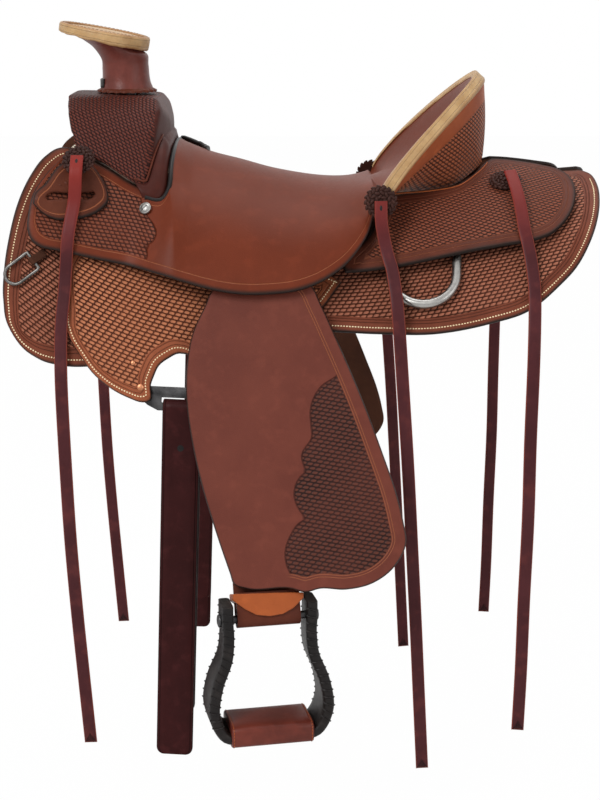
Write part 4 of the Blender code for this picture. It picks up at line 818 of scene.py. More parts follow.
def ribbonParts(path, across, width, thick, rounding=0.0008):
    # A flat strap with rounded edges; also gives its own flat map and distances to its edges.
    verts, flats, marks = [], [], []
    run = 0.0
    for i, point in enumerate(path):
        way = (path[min(i + 1, len(path) - 1)] - path[max(i - 1, 0)]).normalized()
        wide = across[i] if isinstance(across, list) else across
        wide = (wide - wide.dot(way) * way).normalized()
        up = wide.cross(way)
        w = (width[i] if isinstance(width, list) else width) / 2
        t = thick / 2
        run += (point - path[i - 1]).length if i else 0.0
        r = min(rounding, w * 0.5)
        ring = [(w - r, t), (w * 0.5, t), (0, t), (-w * 0.5, t), (r - w, t), (-w, t - r), (-w, r - t),
                (r - w, -t),
                (-w * 0.5, -t), (0, -t), (w * 0.5, -t), (w - r, -t), (w, r - t), (w, t - r)]
        for a, b in ring:
            verts.append(point + wide * a + up * b)
            flats.append((run, a))
            marks.append((max(0.0, w - abs(a)), 0.0))
    return verts, ringFaces(len(path), len(ring)), flats, marks


def facing(point, normal):
    turn = Vector((0.0, 0.0, 1.0)).rotation_difference(Vector(normal)).to_matrix().to_4x4()
    return Matrix.Translation(Vector(point)) @ turn


def lathe(profile, turns=32):
    # A profile of radius and height, turned about z.
    return ringParts([[Vector((r * math.cos(a), r * math.sin(a), z)) for a in turned(turns)] for r,
                      z in profile])


def bead(place, size, turns=8, rows=6):
    # A small smooth cushion of leather, thread or metal.
    profile = [(math.sin(math.pi * i / rows), -math.cos(math.pi * i / rows)) for i in range(1, rows)]
    verts, faces = lathe(profile, turns)
    return [place @ Vector((v.x * size[0], v.y * size[1], v.z * size[2])) for v in verts], faces


def applied(made):
    # The piece's modifiers become its mesh.
    bpy.context.view_layer.update()
    seen = made.evaluated_get(bpy.context.evaluated_depsgraph_get())
    mesh = bpy.data.meshes.new_from_object(seen)
    made.modifiers.clear()
    made.data = mesh
    return made


def modify(made, name, kind, **values):
    step = made.modifiers.new(name, kind)
    for key, value in values.items():
        setattr(step, key, value)


def roundEdges(made, width, angle):
    modify(made, "edge", "BEVEL", width=width, segments=2, limit_method="ANGLE",
           angle_limit=math.radians(angle))


def softCopy(node, name, look, body, slot, round=0.0008, voxel=0.0, calm=0):
    # A CAD piece with its edges rounded or melted, as its own object.
    made = bpy.data.objects.new(name, cadNodes[node].data.copy())
    shop.objects.link(made)
    made.data.materials.clear()
    made.data.materials.append(looks[look])
    if voxel:
        modify(made, "melt", "REMESH", mode="VOXEL", voxel_size=voxel)
        modify(made, "ease", "SMOOTH", factor=0.5, iterations=calm)
    else:
        modify(made, "weld", "WELD", merge_threshold=0.00002)
        modify(made, "flat", "DECIMATE", decimate_type="DISSOLVE", angle_limit=math.radians(2.0))
        roundEdges(made, round, 35.0)
    applied(made)
    made.data.shade_smooth()
    made.data.set_sharp_from_angle(angle=math.radians(50))
    made["rideOn"], made["finishSlot"] = body, slot
    for label in ("flat", "marks"):
        if label not in made.data.uv_layers:
            made.data.uv_layers.new(name=label)
    return made


def keepShape(node, name, look, body, slot, **edges):
    return settle(softCopy(node, name, look, body, slot, **edges), node)


def mapByPoint(made, flatOf, markOf):
    # Flat map and edge distance from where each point lies.
    ends = np.zeros(len(made.data.loops), np.int32)
    made.data.loops.foreach_get("vertex_index", ends)
    for label, how in (("flat", flatOf), ("marks", markOf)):
        values = np.array([how(v.co) for v in made.data.vertices], np.float32)
        made.data.uv_layers[label].data.foreach_set("uv", values[ends].ravel())


# Saddle strings: first, because they are free cords.
strings = {
    "front": (((-0.2540, 0.1449, 0.0707), (-0.2545, 0.1596, 0.0517)),
              ((-0.257, 0.006, 0.0365), (-0.261, -0.015, 0.0340), (-0.264, -0.034, 0.0325),
               (-0.267, -0.060, 0.0190), (-0.269, -0.086, 0.0150), (-0.272, -0.116, 0.0145),
               (-0.273, -0.148, 0.0140)),
              ((-0.272, 0.205, -0.193), (-0.270, 0.205, -0.280), (-0.267, 0.205, -0.368),
               (-0.262, 0.205, -0.455), (-0.256, 0.205, -0.540), (-0.250, 0.205, -0.622))),
    "middle": (((0.0925, 0.1525, 0.0200), (0.0930, 0.1572, -0.0030)),
               ((0.097, -0.0540, 0.0425), (0.101, -0.0650, 0.0345), (0.105, -0.075, 0.0320),
                (0.109, -0.097, 0.0300), (0.112, -0.122, 0.0230)),
               ((0.118, 0.200, -0.190), (0.125, 0.200, -0.285), (0.131, 0.200, -0.382),
                (0.137, 0.200, -0.481), (0.142, 0.200, -0.570), (0.147, 0.200, -0.658))),
    "rear": ((),
             ((0.248, 0.013, 0.0368), (0.251, 0.004, 0.0362), (0.255, -0.011, 0.0328),
              (0.259, -0.035, 0.0260), (0.263, -0.047, 0.0190), (0.267, -0.069, 0.0110),
              (0.268, -0.094, 0.0090)),
             ((0.266, 0.203, -0.154), (0.265, 0.203, -0.249), (0.265, 0.203, -0.345),
              (0.263, 0.203, -0.443), (0.262, 0.203, -0.531), (0.260, 0.203, -0.607))),
}
stringCut = {"width": 0.0146, "thick": 0.0030, "notch": 0.013, "slit": (0.0032, 0.0016, 0.0004),
             "slitDrop": 0.008,
             "ring": 14}


def makeString(place, side, word):
    top, laid, free = strings[place]
    path = [Vector((x, side * y, z)) for x, y, z in top]
    path += [onBack(x, z, lift, side) for x, z, lift in laid]
    path += [Vector((x, side * y, z)) for x, y, z in free]
    path = smoothRun(path, 72)
    verts, faces, flats, marks = ribbonParts(path, Vector((1.0, 0.0, 0.0)), stringCut["width"],
                                             stringCut["thick"])
    count = stringCut["ring"]
    way = (path[-1] - path[-2]).normalized()
    for ring, share in ((-1, 1.0), (-2, 0.55), (-3, 0.10)):
        for j in range(count):
            at = len(verts) + ring * count + j
            middle = 1 - min(1.0, abs(flats[at][1]) / (stringCut["width"] / 2))
            verts[at] = verts[at] - way * stringCut["notch"] * middle * share
    name = f"string_{place}_{word}_cord"
    made = addPiece(name, verts, faces, [looks["string"]], "saddle", "string_burgundy", None, flats, marks)
    settle(made, f"string_{place}_{word}")
    if top:
        way = (path[1] - path[0]).normalized()
        out = Vector((1.0, 0.0, 0.0)).cross(way)
        out = out if out.y * side > 0 else -out
        spot = path[0] + way * stringCut["slitDrop"] + out * stringCut["thick"] * 0.5
        slit = Matrix.Translation(spot) @ Matrix((way, way.cross(out), out)).transposed().to_4x4()
        # The slit is a flat black bead on the string: painted shade for the opening.
        fit(f"string_slit_{place}_{word}", "black", "saddle", "string_burgundy",
            bead(slit, stringCut["slit"]))


for side, word in sides:
    for place in strings:
        makeString(place, side, word)
print("strings hung")

# Skirts, wool, rigging leathers, rear jockeys.
skirtOutline = (
    (-0.253, 0.070), (-0.279, 0.074), (-0.296, 0.065), (-0.312, 0.044), (-0.326, 0.012),
    (-0.334, -0.020), (-0.340, -0.059), (-0.341, -0.093), (-0.336, -0.121), (-0.322, -0.143),
    (-0.301, -0.158), (-0.275, -0.165), (-0.229, -0.165), (-0.194, -0.162), (-0.114, -0.142),
    (-0.046, -0.131), (0.024, -0.128), (0.091, -0.130), (0.156, -0.129), (0.219, -0.117),
    (0.260, -0.104), (0.299, -0.075), (0.316, -0.059), (0.335, -0.032), (0.347, -0.008),
    (0.353, 0.011), (0.354, 0.026), (0.350, 0.034), (0.341, 0.037), (0.300, 0.034),
    (0.254, 0.026), (0.121, 0.004), (0.0, 0.000), (-0.100, 0.019), (-0.180, 0.051),
)
riggingOutline = (
    (-0.262, -0.030), (-0.272, -0.044), (-0.271, -0.098), (-0.270, -0.118), (-0.263, -0.136),
    (-0.252, -0.153), (-0.238, -0.172), (-0.219, -0.188), (-0.196, -0.200), (-0.179, -0.205),
    (-0.171, -0.203), (-0.170, -0.185), (-0.167, -0.177), (-0.161, -0.165), (-0.150, -0.157),
    (-0.138, -0.152), (-0.129, -0.153), (-0.120, -0.163), (-0.108, -0.176), (-0.092, -0.172),
    (-0.060, -0.151), (-0.020, -0.131), (0.018, -0.112), (0.048, -0.079), (0.040, -0.074),
    (0.0, -0.073), (-0.100, -0.073), (-0.160, -0.050), (-0.200, -0.036),
)
jockeyOutline = (
    (0.101, -0.003), (0.119, -0.001), (0.151, 0.002), (0.184, 0.008), (0.208, 0.019),
    (0.222, 0.028), (0.232, 0.032), (0.255, 0.0325), (0.290, 0.0325), (0.310, 0.031),
    (0.321, 0.026), (0.325, 0.016), (0.323, 0.005), (0.318, -0.005), (0.308, -0.017),
    (0.293, -0.029), (0.271, -0.0385), (0.235, -0.0465), (0.174, -0.0585), (0.112, -0.0700),
    (0.080, -0.0740), (0.052, -0.0760), (0.048, -0.066), (0.080, -0.040),
)
sewing = {"skirtInset": 0.0065, "riggingInset": 0.0060, "stitch": 0.0033}


def jockeyLift(x, z):
    flare = 0.0022 * between(-0.036, -0.052, z) * (1 - between(0.200, 0.240, x))
    return overDee + flare + (jockeyEdge - overDee) * between(0.225, 0.325, x)


def sewAround(name, outline, inset, side, lift, thick, wanted, slot):
    loop = insetLoop(roundOutline([(x, arcOf(x, z)) for x, z in outline], 0.004), inset)
    line, lines = [], []
    for x, arc in list(loop) + [loop[0]]:
        z = heightAt(x, arc)
        if wanted(x, z):
            line.append(onBack(x, z, lift(x, z) + thick, side))
        elif line:
            lines.append(line)
            line = []
    lines.append(line)
    for i, some in enumerate(found for found in lines if len(found) > 3):
        settle(stitchRow(f"{name}_{i}", some, lambda p: backNormal(p.x, p.z - 0.01, side), "saddle", slot,
                         step=sewing["stitch"]))


for side, word in sides:
    settle(backSheet(f"skirt_{word}_leather", skirtOutline, ply["skirt"], side, lambda x, z: 0.0, "tan",
                     "saddle", "stamped_orange_brown"), f"skirt_{word}")
    sewAround(f"skirt_stitches_{word}", skirtOutline, sewing["skirtInset"], side, lambda x, z: 0.0,
              ply["skirt"],
              lambda x, z: z < 0.030 or x < -0.26, "stamped_orange_brown")
    settle(backSheet(f"rigging_{word}_leather", riggingOutline, ply["rigging"], side, lambda x, z: overSkirt,
                     "rigging", "saddle", "stamped_orange_brown"), f"rigging_leather_{word}")
    sewAround(f"rigging_stitches_{word}", riggingOutline, sewing["riggingInset"], side, lambda x,
              z: overSkirt,
              ply["rigging"], lambda x, z: z < -0.075, "stamped_orange_brown")
    settle(backSheet(f"rear_jockey_{word}_leather", jockeyOutline, ply["jockey"], side, jockeyLift, "dark",
                     "saddle", "stamped_dark_brown"), f"rear_jockey_{word}")


def makeWool(side, word):
    trimmed = insetLoop([tuple(p) for p in skirtOutline], 0.007)
    made = backSheet(f"fleece_{word}_wool", [tuple(p) for p in trimmed], ply["fleece"], side,
                     lambda x, z: -ply["fleece"] - gap, "wool", "saddle", "woolskin", grid=0.0055)
    made.data.materials.clear()
    made.data.materials.append(looks["wool"])
    made.data.polygons.foreach_set("material_index", [0] * len(made.data.polygons))
    for v in made.data.vertices:
        n = backNormal(v.co.x, min(0.06, v.co.z), side)
        curl = noise.noise(v.co * 160.0) * 0.0016 + noise.noise(v.co * 55.0) * 0.0014
        v.co -= n * (0.0013 + curl)
    settle(made, f"fleece_{word}")


for side, word in sides:
    makeWool(side, word)
print("skirts and rigging sewn")

# Latigo keeper, with its slot and five small beads as its ornament: x, height, size and turn.
keeperOutline = (
    (-0.277, 0.044), (-0.290, 0.028), (-0.303, 0.015), (-0.304, 0.007), (-0.294, -0.003),
    (-0.278, -0.011), (-0.262, -0.012), (-0.243, -0.010), (-0.228, -0.004), (-0.220, 0.006),
    (-0.221, 0.014), (-0.228, 0.028), (-0.236, 0.039), (-0.256, 0.051),
)
keeperBeads = ((-0.262, 0.030, 1.0, 0.0), (-0.268, 0.026, 0.8, 0.8), (-0.256, 0.026, 0.8, -0.8),
               (-0.274, 0.024, 0.6, 1.2), (-0.250, 0.024, 0.6, -1.2))
keeperSlot = ((-0.290, 0.0125), (-0.288, 0.0152), (-0.2625, 0.0155), (-0.237, 0.0152), (-0.235, 0.0125),
              (-0.237, 0.0098), (-0.2625, 0.0095), (-0.288, 0.0098))


def makeKeeper():
    made = backSheet("latigo_keeper_leather", keeperOutline, ply["keeper"], -1, lambda x, z: keeperLift,
                     "keeper",
                     "saddle", "stamped_orange_brown", holes=(keeperSlot,), grid=0.004, outerMarks=True)
    settle(made, "latigo_keeper")
    parts = []
    for x, z, size, turn in keeperBeads:
        spot = onBack(x, z, keeperLift + ply["keeper"], -1)
        place = facing(spot, backNormal(x, z, -1)) @ Matrix.Rotation(turn, 4, "Z")
        parts.append(bead(place, (0.0018 * size, 0.0036 * size, 0.0005)))
    fit("latigo_keeper_ornament", "keeper", "saddle", "stamped_orange_brown", joinParts(parts))


makeKeeper()

# The seat leather: ribs from its lower edge to the crest, and the dish of the cantle.
seatLines = {
    "lobe": ((-0.274, 0.054), (-0.291, 0.038), (-0.305, 0.018), (-0.310, -0.006), (-0.310, -0.020),
             (-0.305, -0.031), (-0.294, -0.038), (-0.278, -0.042), (-0.262, -0.046), (-0.230, -0.054),
             (-0.199, -0.061), (-0.178, -0.069)),
    "flank": ((-0.178, -0.069), (-0.167, -0.074), (-0.152, -0.080), (-0.138, -0.085)),
    "side": ((-0.138, -0.085), (-0.111, -0.093), (-0.084, -0.099), (-0.058, -0.102), (-0.032, -0.102),
             (-0.006, -0.100), (0.021, -0.093), (0.047, -0.080), (0.064, -0.066), (0.077, -0.050),
             (0.083, -0.036), (0.087, -0.023)),
    "forkFoot": ((-0.266, 0.060), (-0.250, 0.052), (-0.225, 0.040), (-0.200, 0.024), (-0.178, 0.010)),
    "forkHeel": ((-0.178, 0.134, 0.024), (-0.161, 0.134, 0.0205), (-0.1510, 0.125, 0.033),
                 (-0.1495, 0.098, 0.058), (-0.1485, 0.062, 0.072), (-0.1485, 0.0, 0.077)),
    "crest": ((-0.1485, 0.077), (-0.110, 0.062), (-0.072, 0.052), (-0.034, 0.0415), (0.012, 0.0330),
              (0.050, 0.0300), (0.085, 0.0320)),
    "dish": ((0.085, 0.0320), (0.120, 0.042), (0.150, 0.064), (0.178, 0.100), (0.200, 0.141)),
    "cantleFoot": ((0.104, 0.007), (0.119, 0.008), (0.151, 0.010), (0.184, 0.015), (0.207, 0.026),
                   (0.217, 0.032), (0.222, 0.036)),
}
rim = {"footX": 0.094, "footZ": 0.030, "halfWidth": 0.139, "rise": 0.130, "layback": 0.118}
fine = 3
dishCount = 11 * fine + 1


def fenderZone(x):
    return between(-0.205, -0.140, x) * (1 - between(0.078, 0.112, x))


def rimPoint(turn, inset, across=0.0):
    c = max(0.0, math.cos(turn))
    return Vector((rim["footX"] + rim["layback"] * c ** 1.6 + 0.76 * across,
                   (rim["halfWidth"] - inset) * math.sin(turn),
                   rim["footZ"] + (rim["rise"] - inset) * c ** 1.3 - 0.65 * across))


def seatRib(start, startNormal, end, endNormal, rows, inset=0.0):
    chord = end - start
    first = (chord - chord.dot(startNormal) * startNormal) * 0.42
    last = (chord - chord.dot(endNormal) * endNormal) * 0.42
    out = []
    for i in range(rows + 1):
        t = i / rows
        p = (start * (1 - t) ** 3 + (start + first) * 3 * t * (1 - t) ** 2
             + (end - last) * 3 * t * t * (1 - t) + end * t ** 3)
        out.append(p - startNormal.lerp(endNormal, t).normalized() * inset)
    return out


def seatEdge(points, count):
    out = []
    plane = Vector((0.0, math.cos(hang["tilt"]), math.sin(hang["tilt"])))
    for p in smoothRun([(x, 0.0, z) for x, z in points], count):
        lift = lobeLift + (fenderLift - lobeLift) * fenderZone(p.x)
        normal = backNormal(p.x, p.z, 1)
        out.append((onBack(p.x, p.z, lift, 1), normal.lerp(plane, 0.8 * fenderZone(p.x)).normalized()))
    return out


def uprightOf(points, i):
    along = (points[min(len(points) - 1, i + 1)] - points[max(0, i - 1)]).normalized()
    return along.cross(Vector((0.0, 1.0, 0.0)))


def dishRib(i, rows):
    line = smoothRun([(x, 0.0, z) for x, z in seatLines["dish"]], dishCount)
    turn = math.radians(90.0) * (1 - i / (dishCount - 1))
    start = rimPoint(turn, ply["binding"] + 3 * gap)
    normal = Vector((-0.45, -0.35 * math.sin(turn), 0.75)).normalized()
    return seatRib(start, normal, line[i], uprightOf(line, i), rows)


def mirroredSkin(name, rows, look, body, slot, thick, marksOf, flip=False, panel=None):
    # A skin through rows of points with y above 0, mirrored, thickened and rounded at its edges.
    verts, faces, flats, marks = [], [], [], []
    for sign in (-1, 1):
        firsts = []
        for row in rows:
            firsts.append(len(verts))
            run = 0.0
            whole = sum((b - a).length for a, b in zip(row, row[1:]))
            for i, p in enumerate(row):
                run += (p - row[i - 1]).length if i else 0.0
                verts.append(Vector((p.x, sign * p.y, p.z)))
                flat, mark = marksOf(p, run, whole - run)
                flats.append(flat)
                marks.append(mark)
        for a, b, first, second in zip(rows, rows[1:], firsts, firsts[1:]):
            for i in range(len(a) - 1):
                quad = (first + i, second + i, second + i + 1, first + i + 1)
                faces.append(quad if (sign < 0) != flip else quad[::-1])
    lines = panelDistance(flats, panel) if panel else None
    made = addPiece(name, verts, faces, [looks[look]], body, slot, None, flats, marks, lines=lines)
    modify(made, "weld", "WELD", merge_threshold=0.00005)
    modify(made, "thickness", "SOLIDIFY", thickness=thick, offset=-1.0)
    roundEdges(made, 0.0012, 50.0)
    applied(made)
    made.data.set_sharp_from_angle(angle=math.radians(60))
    return made


# The stamped front jockey, up to a scalloped line.
seatPanel = (
    (-0.400, 0.100), (-0.176, 0.100), (-0.176, 0.003), (-0.168, -0.006), (-0.164, -0.015), (-0.168, -0.024),
    (-0.179, -0.029), (-0.174, -0.034), (-0.174, -0.040), (-0.181, -0.044), (-0.174, -0.051),
             (-0.174, -0.060),
    (-0.182, -0.066), (-0.182, -0.150), (-0.400, -0.150),
)


def makeSeat():
    rows = 8 * fine
    lobe = seatEdge(seatLines["lobe"], 13 * fine + 1)
    foot = seatEdge(seatLines["forkFoot"], 13 * fine + 1)
    flank = seatEdge(seatLines["flank"], 4 * fine + 1)
    heel = smoothRun(seatLines["forkHeel"][:3], 4 * fine + 1)
    side = seatEdge(seatLines["side"], 13 * fine + 1)
    crest = smoothRun([(x, 0.0, z) for x, z in seatLines["crest"]], 13 * fine + 1)
    ribs = [seatRib(*a, *b, rows // 2) for a, b in zip(lobe, foot)]
    for i in range(1, len(flank) - 1):
        t = 0.5 * i / (len(flank) - 1)
        normal = foot[-1][1].lerp(uprightOf(crest, 0), t).normalized()
        ribs.append(seatRib(*flank[i], heel[i], normal, rows // 2))
    heelNormal = foot[-1][1].lerp(uprightOf(crest, 0), 0.5).normalized()
    behindFork = seatRib(*side[0], heel[-1], heelNormal, rows // 2)
    behindFork += smoothRun(seatLines["forkHeel"][2:], rows - rows // 2 + 1)[1:]
    ribs.append(behindFork)
    ribs += [seatRib(*side[i], crest[i], uprightOf(crest, i), rows) for i in range(1, len(side))]
    dish = [dishRib(i, rows) for i in range(dishCount)]
    starts = {tuple(r[0]): "dish" for r in dish}
    starts.update({tuple(r[0]): "front" for r in ribs if r[0].x < -0.140})
    row = {"kind": ""}

    def marksOf(p, run, left):
        if run == 0.0:
            row["kind"] = starts.get(tuple(p), "side")
        far = {"dish": run + 0.03, "front": min(run, left + 0.002), "side": run}[row["kind"]]
        return (p.x, p.z), (far, 0.0)

    made = mirroredSkin("seat_leather_skin", ribs + dish, "seat", "saddle", "seat_leather_brown",
                        ply["seat"], marksOf,
                        panel=seatPanel)
    settle(made, "seat_leather")


def cantleBackLine(i, rows=14):
    turn = math.radians(90.0) * (1 - i / (dishCount - 1))
    top = rimPoint(turn, ply["binding"] + gap, ply["bindingWidth"] - 0.001)
    foots = [onBack(x, z, 0.013, 1) for x, z in seatLines["cantleFoot"]]
    foots[-1].y = 0.0
    foot = smoothRun(foots, dishCount)[i]
    inward = Vector((-0.8, -0.6 * math.sin(turn), 0.0)).normalized()
    return [top.lerp(foot, j / rows) - inward * 0.003 * math.sin(math.pi * j / rows) for j in range(rows + 1)]


def makeCantle():
    rows = [cantleBackLine(i) for i in range(dishCount)]
    made = mirroredSkin("cantle_back_leather", rows, "cantle", "saddle", "stamped_dark_brown",
                        ply["cantleBack"],
                        lambda p, run, left: ((math.hypot(p.x - 0.225, p.y), p.z), (run + 0.004, 0.0)),
                        flip=True)
    settle(made, "cantle_back")
    verts, flats, marks = [], [], []
    width, thick = ply["bindingWidth"], ply["binding"]
    turns = 96
    section = ((0.0, 0.0010), (0.0, width * 0.25), (0.0, width * 0.5), (0.0, width * 0.75),
               (0.0, width - 0.001),
               (0.0005, width - 0.0003), (0.001, width), (thick * 0.6, width + 0.0004), (thick, width),
               (thick, width * 0.5),
               (thick, 0.0), (thick * 0.6, -0.0004), (0.001, 0.0), (0.0004, 0.0004))
    for i in range(turns + 1):
        turn = math.radians(90.0) * (2 * i / turns - 1)
        for inset, across in section:
            lump = noise.noise(Vector((turn * 9.0, across * 160.0, inset * 50.0))) * 0.0004
            verts.append(rimPoint(turn, inset + lump + 0.0004, across))
            flats.append((turn * 0.14, across))
            marks.append((min(across, width - across) if 0 <= across <= width else 0.0, 0.0))
    faces = turnedOut(verts, ringFaces(turns + 1, len(section)), verts[0] - Vector((0.15, 0.0, 0.05)))
    fit("cantle_binding_rawhide", "rawhide", "saddle", "rawhide_cream", (verts, faces, flats, marks),
        "cantle_binding")
    # The rawhide turns over the rim and lies a finger's breadth inside the dish.
    rows = []
    for i in range(dishCount):
        turn = math.radians(90.0) * (1 - i / (dishCount - 1))
        way = dishRib(i, 80)
        out = Vector((-0.62, -0.45 * math.sin(turn), 0.62)).normalized()
        row = [rimPoint(turn, 0.0006, 0.0004)]
        run = 0.0
        for a, b in zip(way, way[1:]):
            run += (b - a).length
            if run > 0.0072:
                break
            if run > len(row) * 0.0012:
                row.append(b + out * 0.0018)
        rows.append(row[:6] + [row[-1] - out * 0.0014])
    count = min(len(row) for row in rows)
    made = mirroredSkin("cantle_binding_lip", [row[:count - 1] + row[-1:] for row in rows], "rawhide",
                        "saddle", "rawhide_cream",
                        0.0010, lambda p, run, left: ((run, p.y), (min(run + 0.004, left), 0.0)))
    settle(made)


def makeCantleFootLine():
    # A creased line that follows the jockeys' top edge under the cantle.
    foots = smoothRun([(x, 0.0, z) for x, z in seatLines["cantleFoot"]], 40)
    for side, word in sides:
        line = [onBack(p.x + 0.004, p.z - 0.008, overDee + ply["jockey"] + 0.0002, side) for p in foots]
        fit(f"cantle_foot_line_{word}", "hobble", "saddle", "stamped_dark_brown", tubeParts(line, 0.0007, 6))


def overBoth(half):
    # A line of the off side, led on from its mirror image on the near side.
    return [Vector((p.x, -p.y, p.z)) for p in half] + half[-2::-1]


def makeSeatFrontEdge():
    half = [Vector((p.x - 0.0006, p.y, p.z - 0.0018)) for p in smoothRun(seatLines["forkHeel"], 40)]
    # A black tube along the seat's front edge behind the fork: partly the seat's dark edge, partly painted
    # shade of the gap behind it.
    fit("seat_front_edge_and_shade", "black", "saddle", "black_leather", tubeParts(overBoth(half), 0.0027, 10))
    # On the off side the edge is turned up and runs back a little.
    crest = smoothRun([(x, 0.0, z) for x, z in seatLines["crest"]], 80)
    line = []
    for i in range(21):
        t = i / 20
        x = -0.1480 + 0.036 * math.sin(math.pi * t / 2)
        z = min(crest, key=lambda p: abs(p.x - x)).z
        line.append(Vector((x, 0.060 * (1 - t) ** 0.8 + 0.004,
                            z + 0.0016 * math.sin(math.pi * t) - 0.004 * (1 - t))))
    radii = [0.0026] + [0.0034] * 16 + [0.0030, 0.0024, 0.0016, 0.0006]
    fit("seat_front_roll", "black", "saddle", "black_leather", tubeParts(line, radii, 10))


makeSeat()
makeSeatFrontEdge()
makeCantle()
makeCantleFootLine()
print("seat and cantle covered")

# Fork cover: the CAD shell melted round, with its stamping run round it.
fork = {"voxel": 0.0024, "calm": 36, "plainFrom": -0.1690, "plainSlope": 0.10}


def makeFork():
    made = softCopy("fork_cover", "fork_cover_leather", "fork", "saddle", "stamped_dark_brown",
                    voxel=fork["voxel"], calm=fork["calm"])

    def flatOf(p):
        radius = math.hypot(p.y, p.z + 0.03)
        return (p.x + radius, math.atan2(p.y, p.z + 0.03) * 0.15)

    def markOf(p):
        edge = fork["plainFrom"] - fork["plainSlope"] * max(0.0, 0.09 - p.z)
        return (max(0.0, edge - p.x) if p.x < edge else -0.001, 0.0)

    mapByPoint(made, flatOf, markOf)
    settle(made, "fork_cover")


def makeForkHeel():
    # Plain leather that closes the cover's rear foot, and the welt above it.
    cover = cadNodes["fork_cover"].data
    skin = BVHTree.FromPolygons([v.co for v in cover.vertices], [tuple(f.vertices) for f in cover.polygons])
    rows, welt = [], []
    for a in smoothRun(seatLines["forkHeel"], 30):
        spot = skin.find_nearest(a + Vector((-0.014, -0.006, 0.020)))[0]
        out = (spot - Vector((-0.230, 0.0, 0.030))).normalized()
        welt.append(spot + out * 0.0006)
        upper, lower = spot - out * 0.003, a + Vector((-0.0035, -0.001, -0.005))
        rows.append([lower + (upper - lower) * t + out * 0.006 * math.sin(math.pi * t)
                     for t in (0.0, 0.25, 0.5, 0.75, 1.0)])
    made = mirroredSkin("fork_cover_heel", rows, "fork", "saddle", "stamped_dark_brown", 0.002,
                        lambda p, run, left: ((p.x, p.z), (-0.001, 0.0)))
    settle(made)
    fit("fork_cover_welt", "strapping", "saddle", "stamped_dark_brown", tubeParts(overBoth(welt), 0.0013, 8))


makeFork()
makeForkHeel()

# Horn: neck leather, cap, rawhide band and the small strap round its base.
horn = {"capX": -0.235, "capZ": 0.2005, "capRadius": 0.0485, "capThick": 0.009, "tilt": math.radians(10.5),
        "band": 0.015, "bandThick": 0.0065, "seamStep": 0.0050}
# The neck's stations: x, height, radius and lean in degrees.
neckStations = (
    (-0.209, 0.1362, 0.0318, 1.5), (-0.209, 0.1412, 0.0306, 3.0), (-0.2095, 0.1470, 0.0292, 4.0),
    (-0.2100, 0.158, 0.0282, 6.0), (-0.2110, 0.170, 0.0285, 8.0), (-0.2160, 0.182, 0.0330, 10.0),
    (-0.2255, 0.1895, 0.0360, 10.5),
)
bandSection = ((0.0, -0.45), (0.25, -0.5), (0.7, -0.49), (0.95, -0.38), (1.0, -0.2), (1.0, 0.05),
               (0.99, 0.3),
               (0.85, 0.45), (0.55, 0.5), (0.2, 0.5), (0.0, 0.45))
collar = {"x": -0.209, "radius": 0.0335, "scallops": 11, "dip": 0.0026}


def capPlace(along, out, height=0.0):
    return Vector((horn["capX"] + along * math.cos(horn["tilt"]) + height * math.sin(horn["tilt"]), out,
                   horn["capZ"] - along * math.sin(horn["tilt"]) + height * math.cos(horn["tilt"])))


def capFrame():
    return facing(Vector((horn["capX"], 0.0, horn["capZ"])), capPlace(0, 0, 1) - capPlace(0, 0, 0))


def makeHornNeck():
    rows = []
    spots = smoothRun([(x, z, r) for x, z, r, _ in neckStations], 30)
    leans = smoothRun([(0.1 * t, station[3], 0.0) for t, station in enumerate(neckStations)], 30)
    for s, leaning in zip(spots, leans):
        lean = math.radians(leaning.y)
        row = []
        for a in turned(64):
            lump = 1 + 0.02 * noise.noise(Vector((math.cos(a) * 2.2, math.sin(a) * 2.2, s.y * 60.0)))
            u = s.z * lump * math.cos(a)
            row.append(Vector((s.x + u * math.cos(lean), s.z * lump * math.sin(a),
                               s.y - u * math.sin(lean))))
        rows.append(row)
    under = horn["capThick"] / 2 + gap
    rows.append([capPlace(0.005 + 0.0425 * math.cos(a), 0.0425 * math.sin(a), -under) for a in turned(64)])
    fit("horn_neck_leather", "neck", "saddle", "neck_leather", ringParts(rows), "horn_wrap")


def makeHornCap():
    half, radius = horn["capThick"] / 2, horn["capRadius"] - gap
    profile = ((0.001, -half), (radius, -half), (radius, half), (radius * 0.96, half + 0.0008),
               (radius * 0.8, half + 0.0014), (radius * 0.4, half + 0.0019), (0.001, half + 0.002))
    fit("horn_cap_leather", "rawhide", "saddle", "rawhide_cream", moved(capFrame(), lathe(profile, 64)),
        "horn_cap")


def makeHornBand():
    # Its lower edge is uneven, where the rawhide was drawn over.
    place = capFrame()
    turns, tall, thick = 120, horn["band"], horn["bandThick"]
    verts, flats, marks = [], [], []
    for a in turned(turns):
        ragged = noise.noise(Vector((math.cos(a) * 5, math.sin(a) * 5, 0.3)))
        for out, up in bandSection:
            lump = noise.noise(Vector((math.cos(a) * 9, math.sin(a) * 9, up * 3.0))) * 0.0005
            r = horn["capRadius"] + thick * out * 0.97 + lump * out
            low = 0.50 + 0.55 * (0.5 + 0.5 * math.cos(a))
            z = tall * up * (low if up < 0 else 1.0) - (0.0020 * (0.5 + ragged) * low if up < -0.3 else 0.0)
            verts.append(place @ Vector((r * math.cos(a), r * math.sin(a), z)))
            flats.append((a * 0.05, tall * up))
            marks.append((tall * min(0.5 - up, 0.5 + up) * out, 0.0))
    faces = ringFaces(turns, len(bandSection), loop=True, flip=True)
    fit("horn_band_rawhide", "rawhide", "saddle", "rawhide_cream", (verts, faces, flats, marks),
        "horn_binding")
    r, z = horn["capRadius"] + thick * 0.35, tall / 2
    line = [place @ Vector((r * math.cos(a), r * math.sin(a), z)) for a in np.linspace(0, 2 * math.pi, 120)]
    up = (place.to_3x3() @ Vector((0, 0, 1))).normalized()
    settle(stitchRow("horn_band_seam", line, lambda p: up, "saddle", "rawhide_cream", step=horn["seamStep"],
                     long=0.0046, wide=0.0006, look="keeper"))


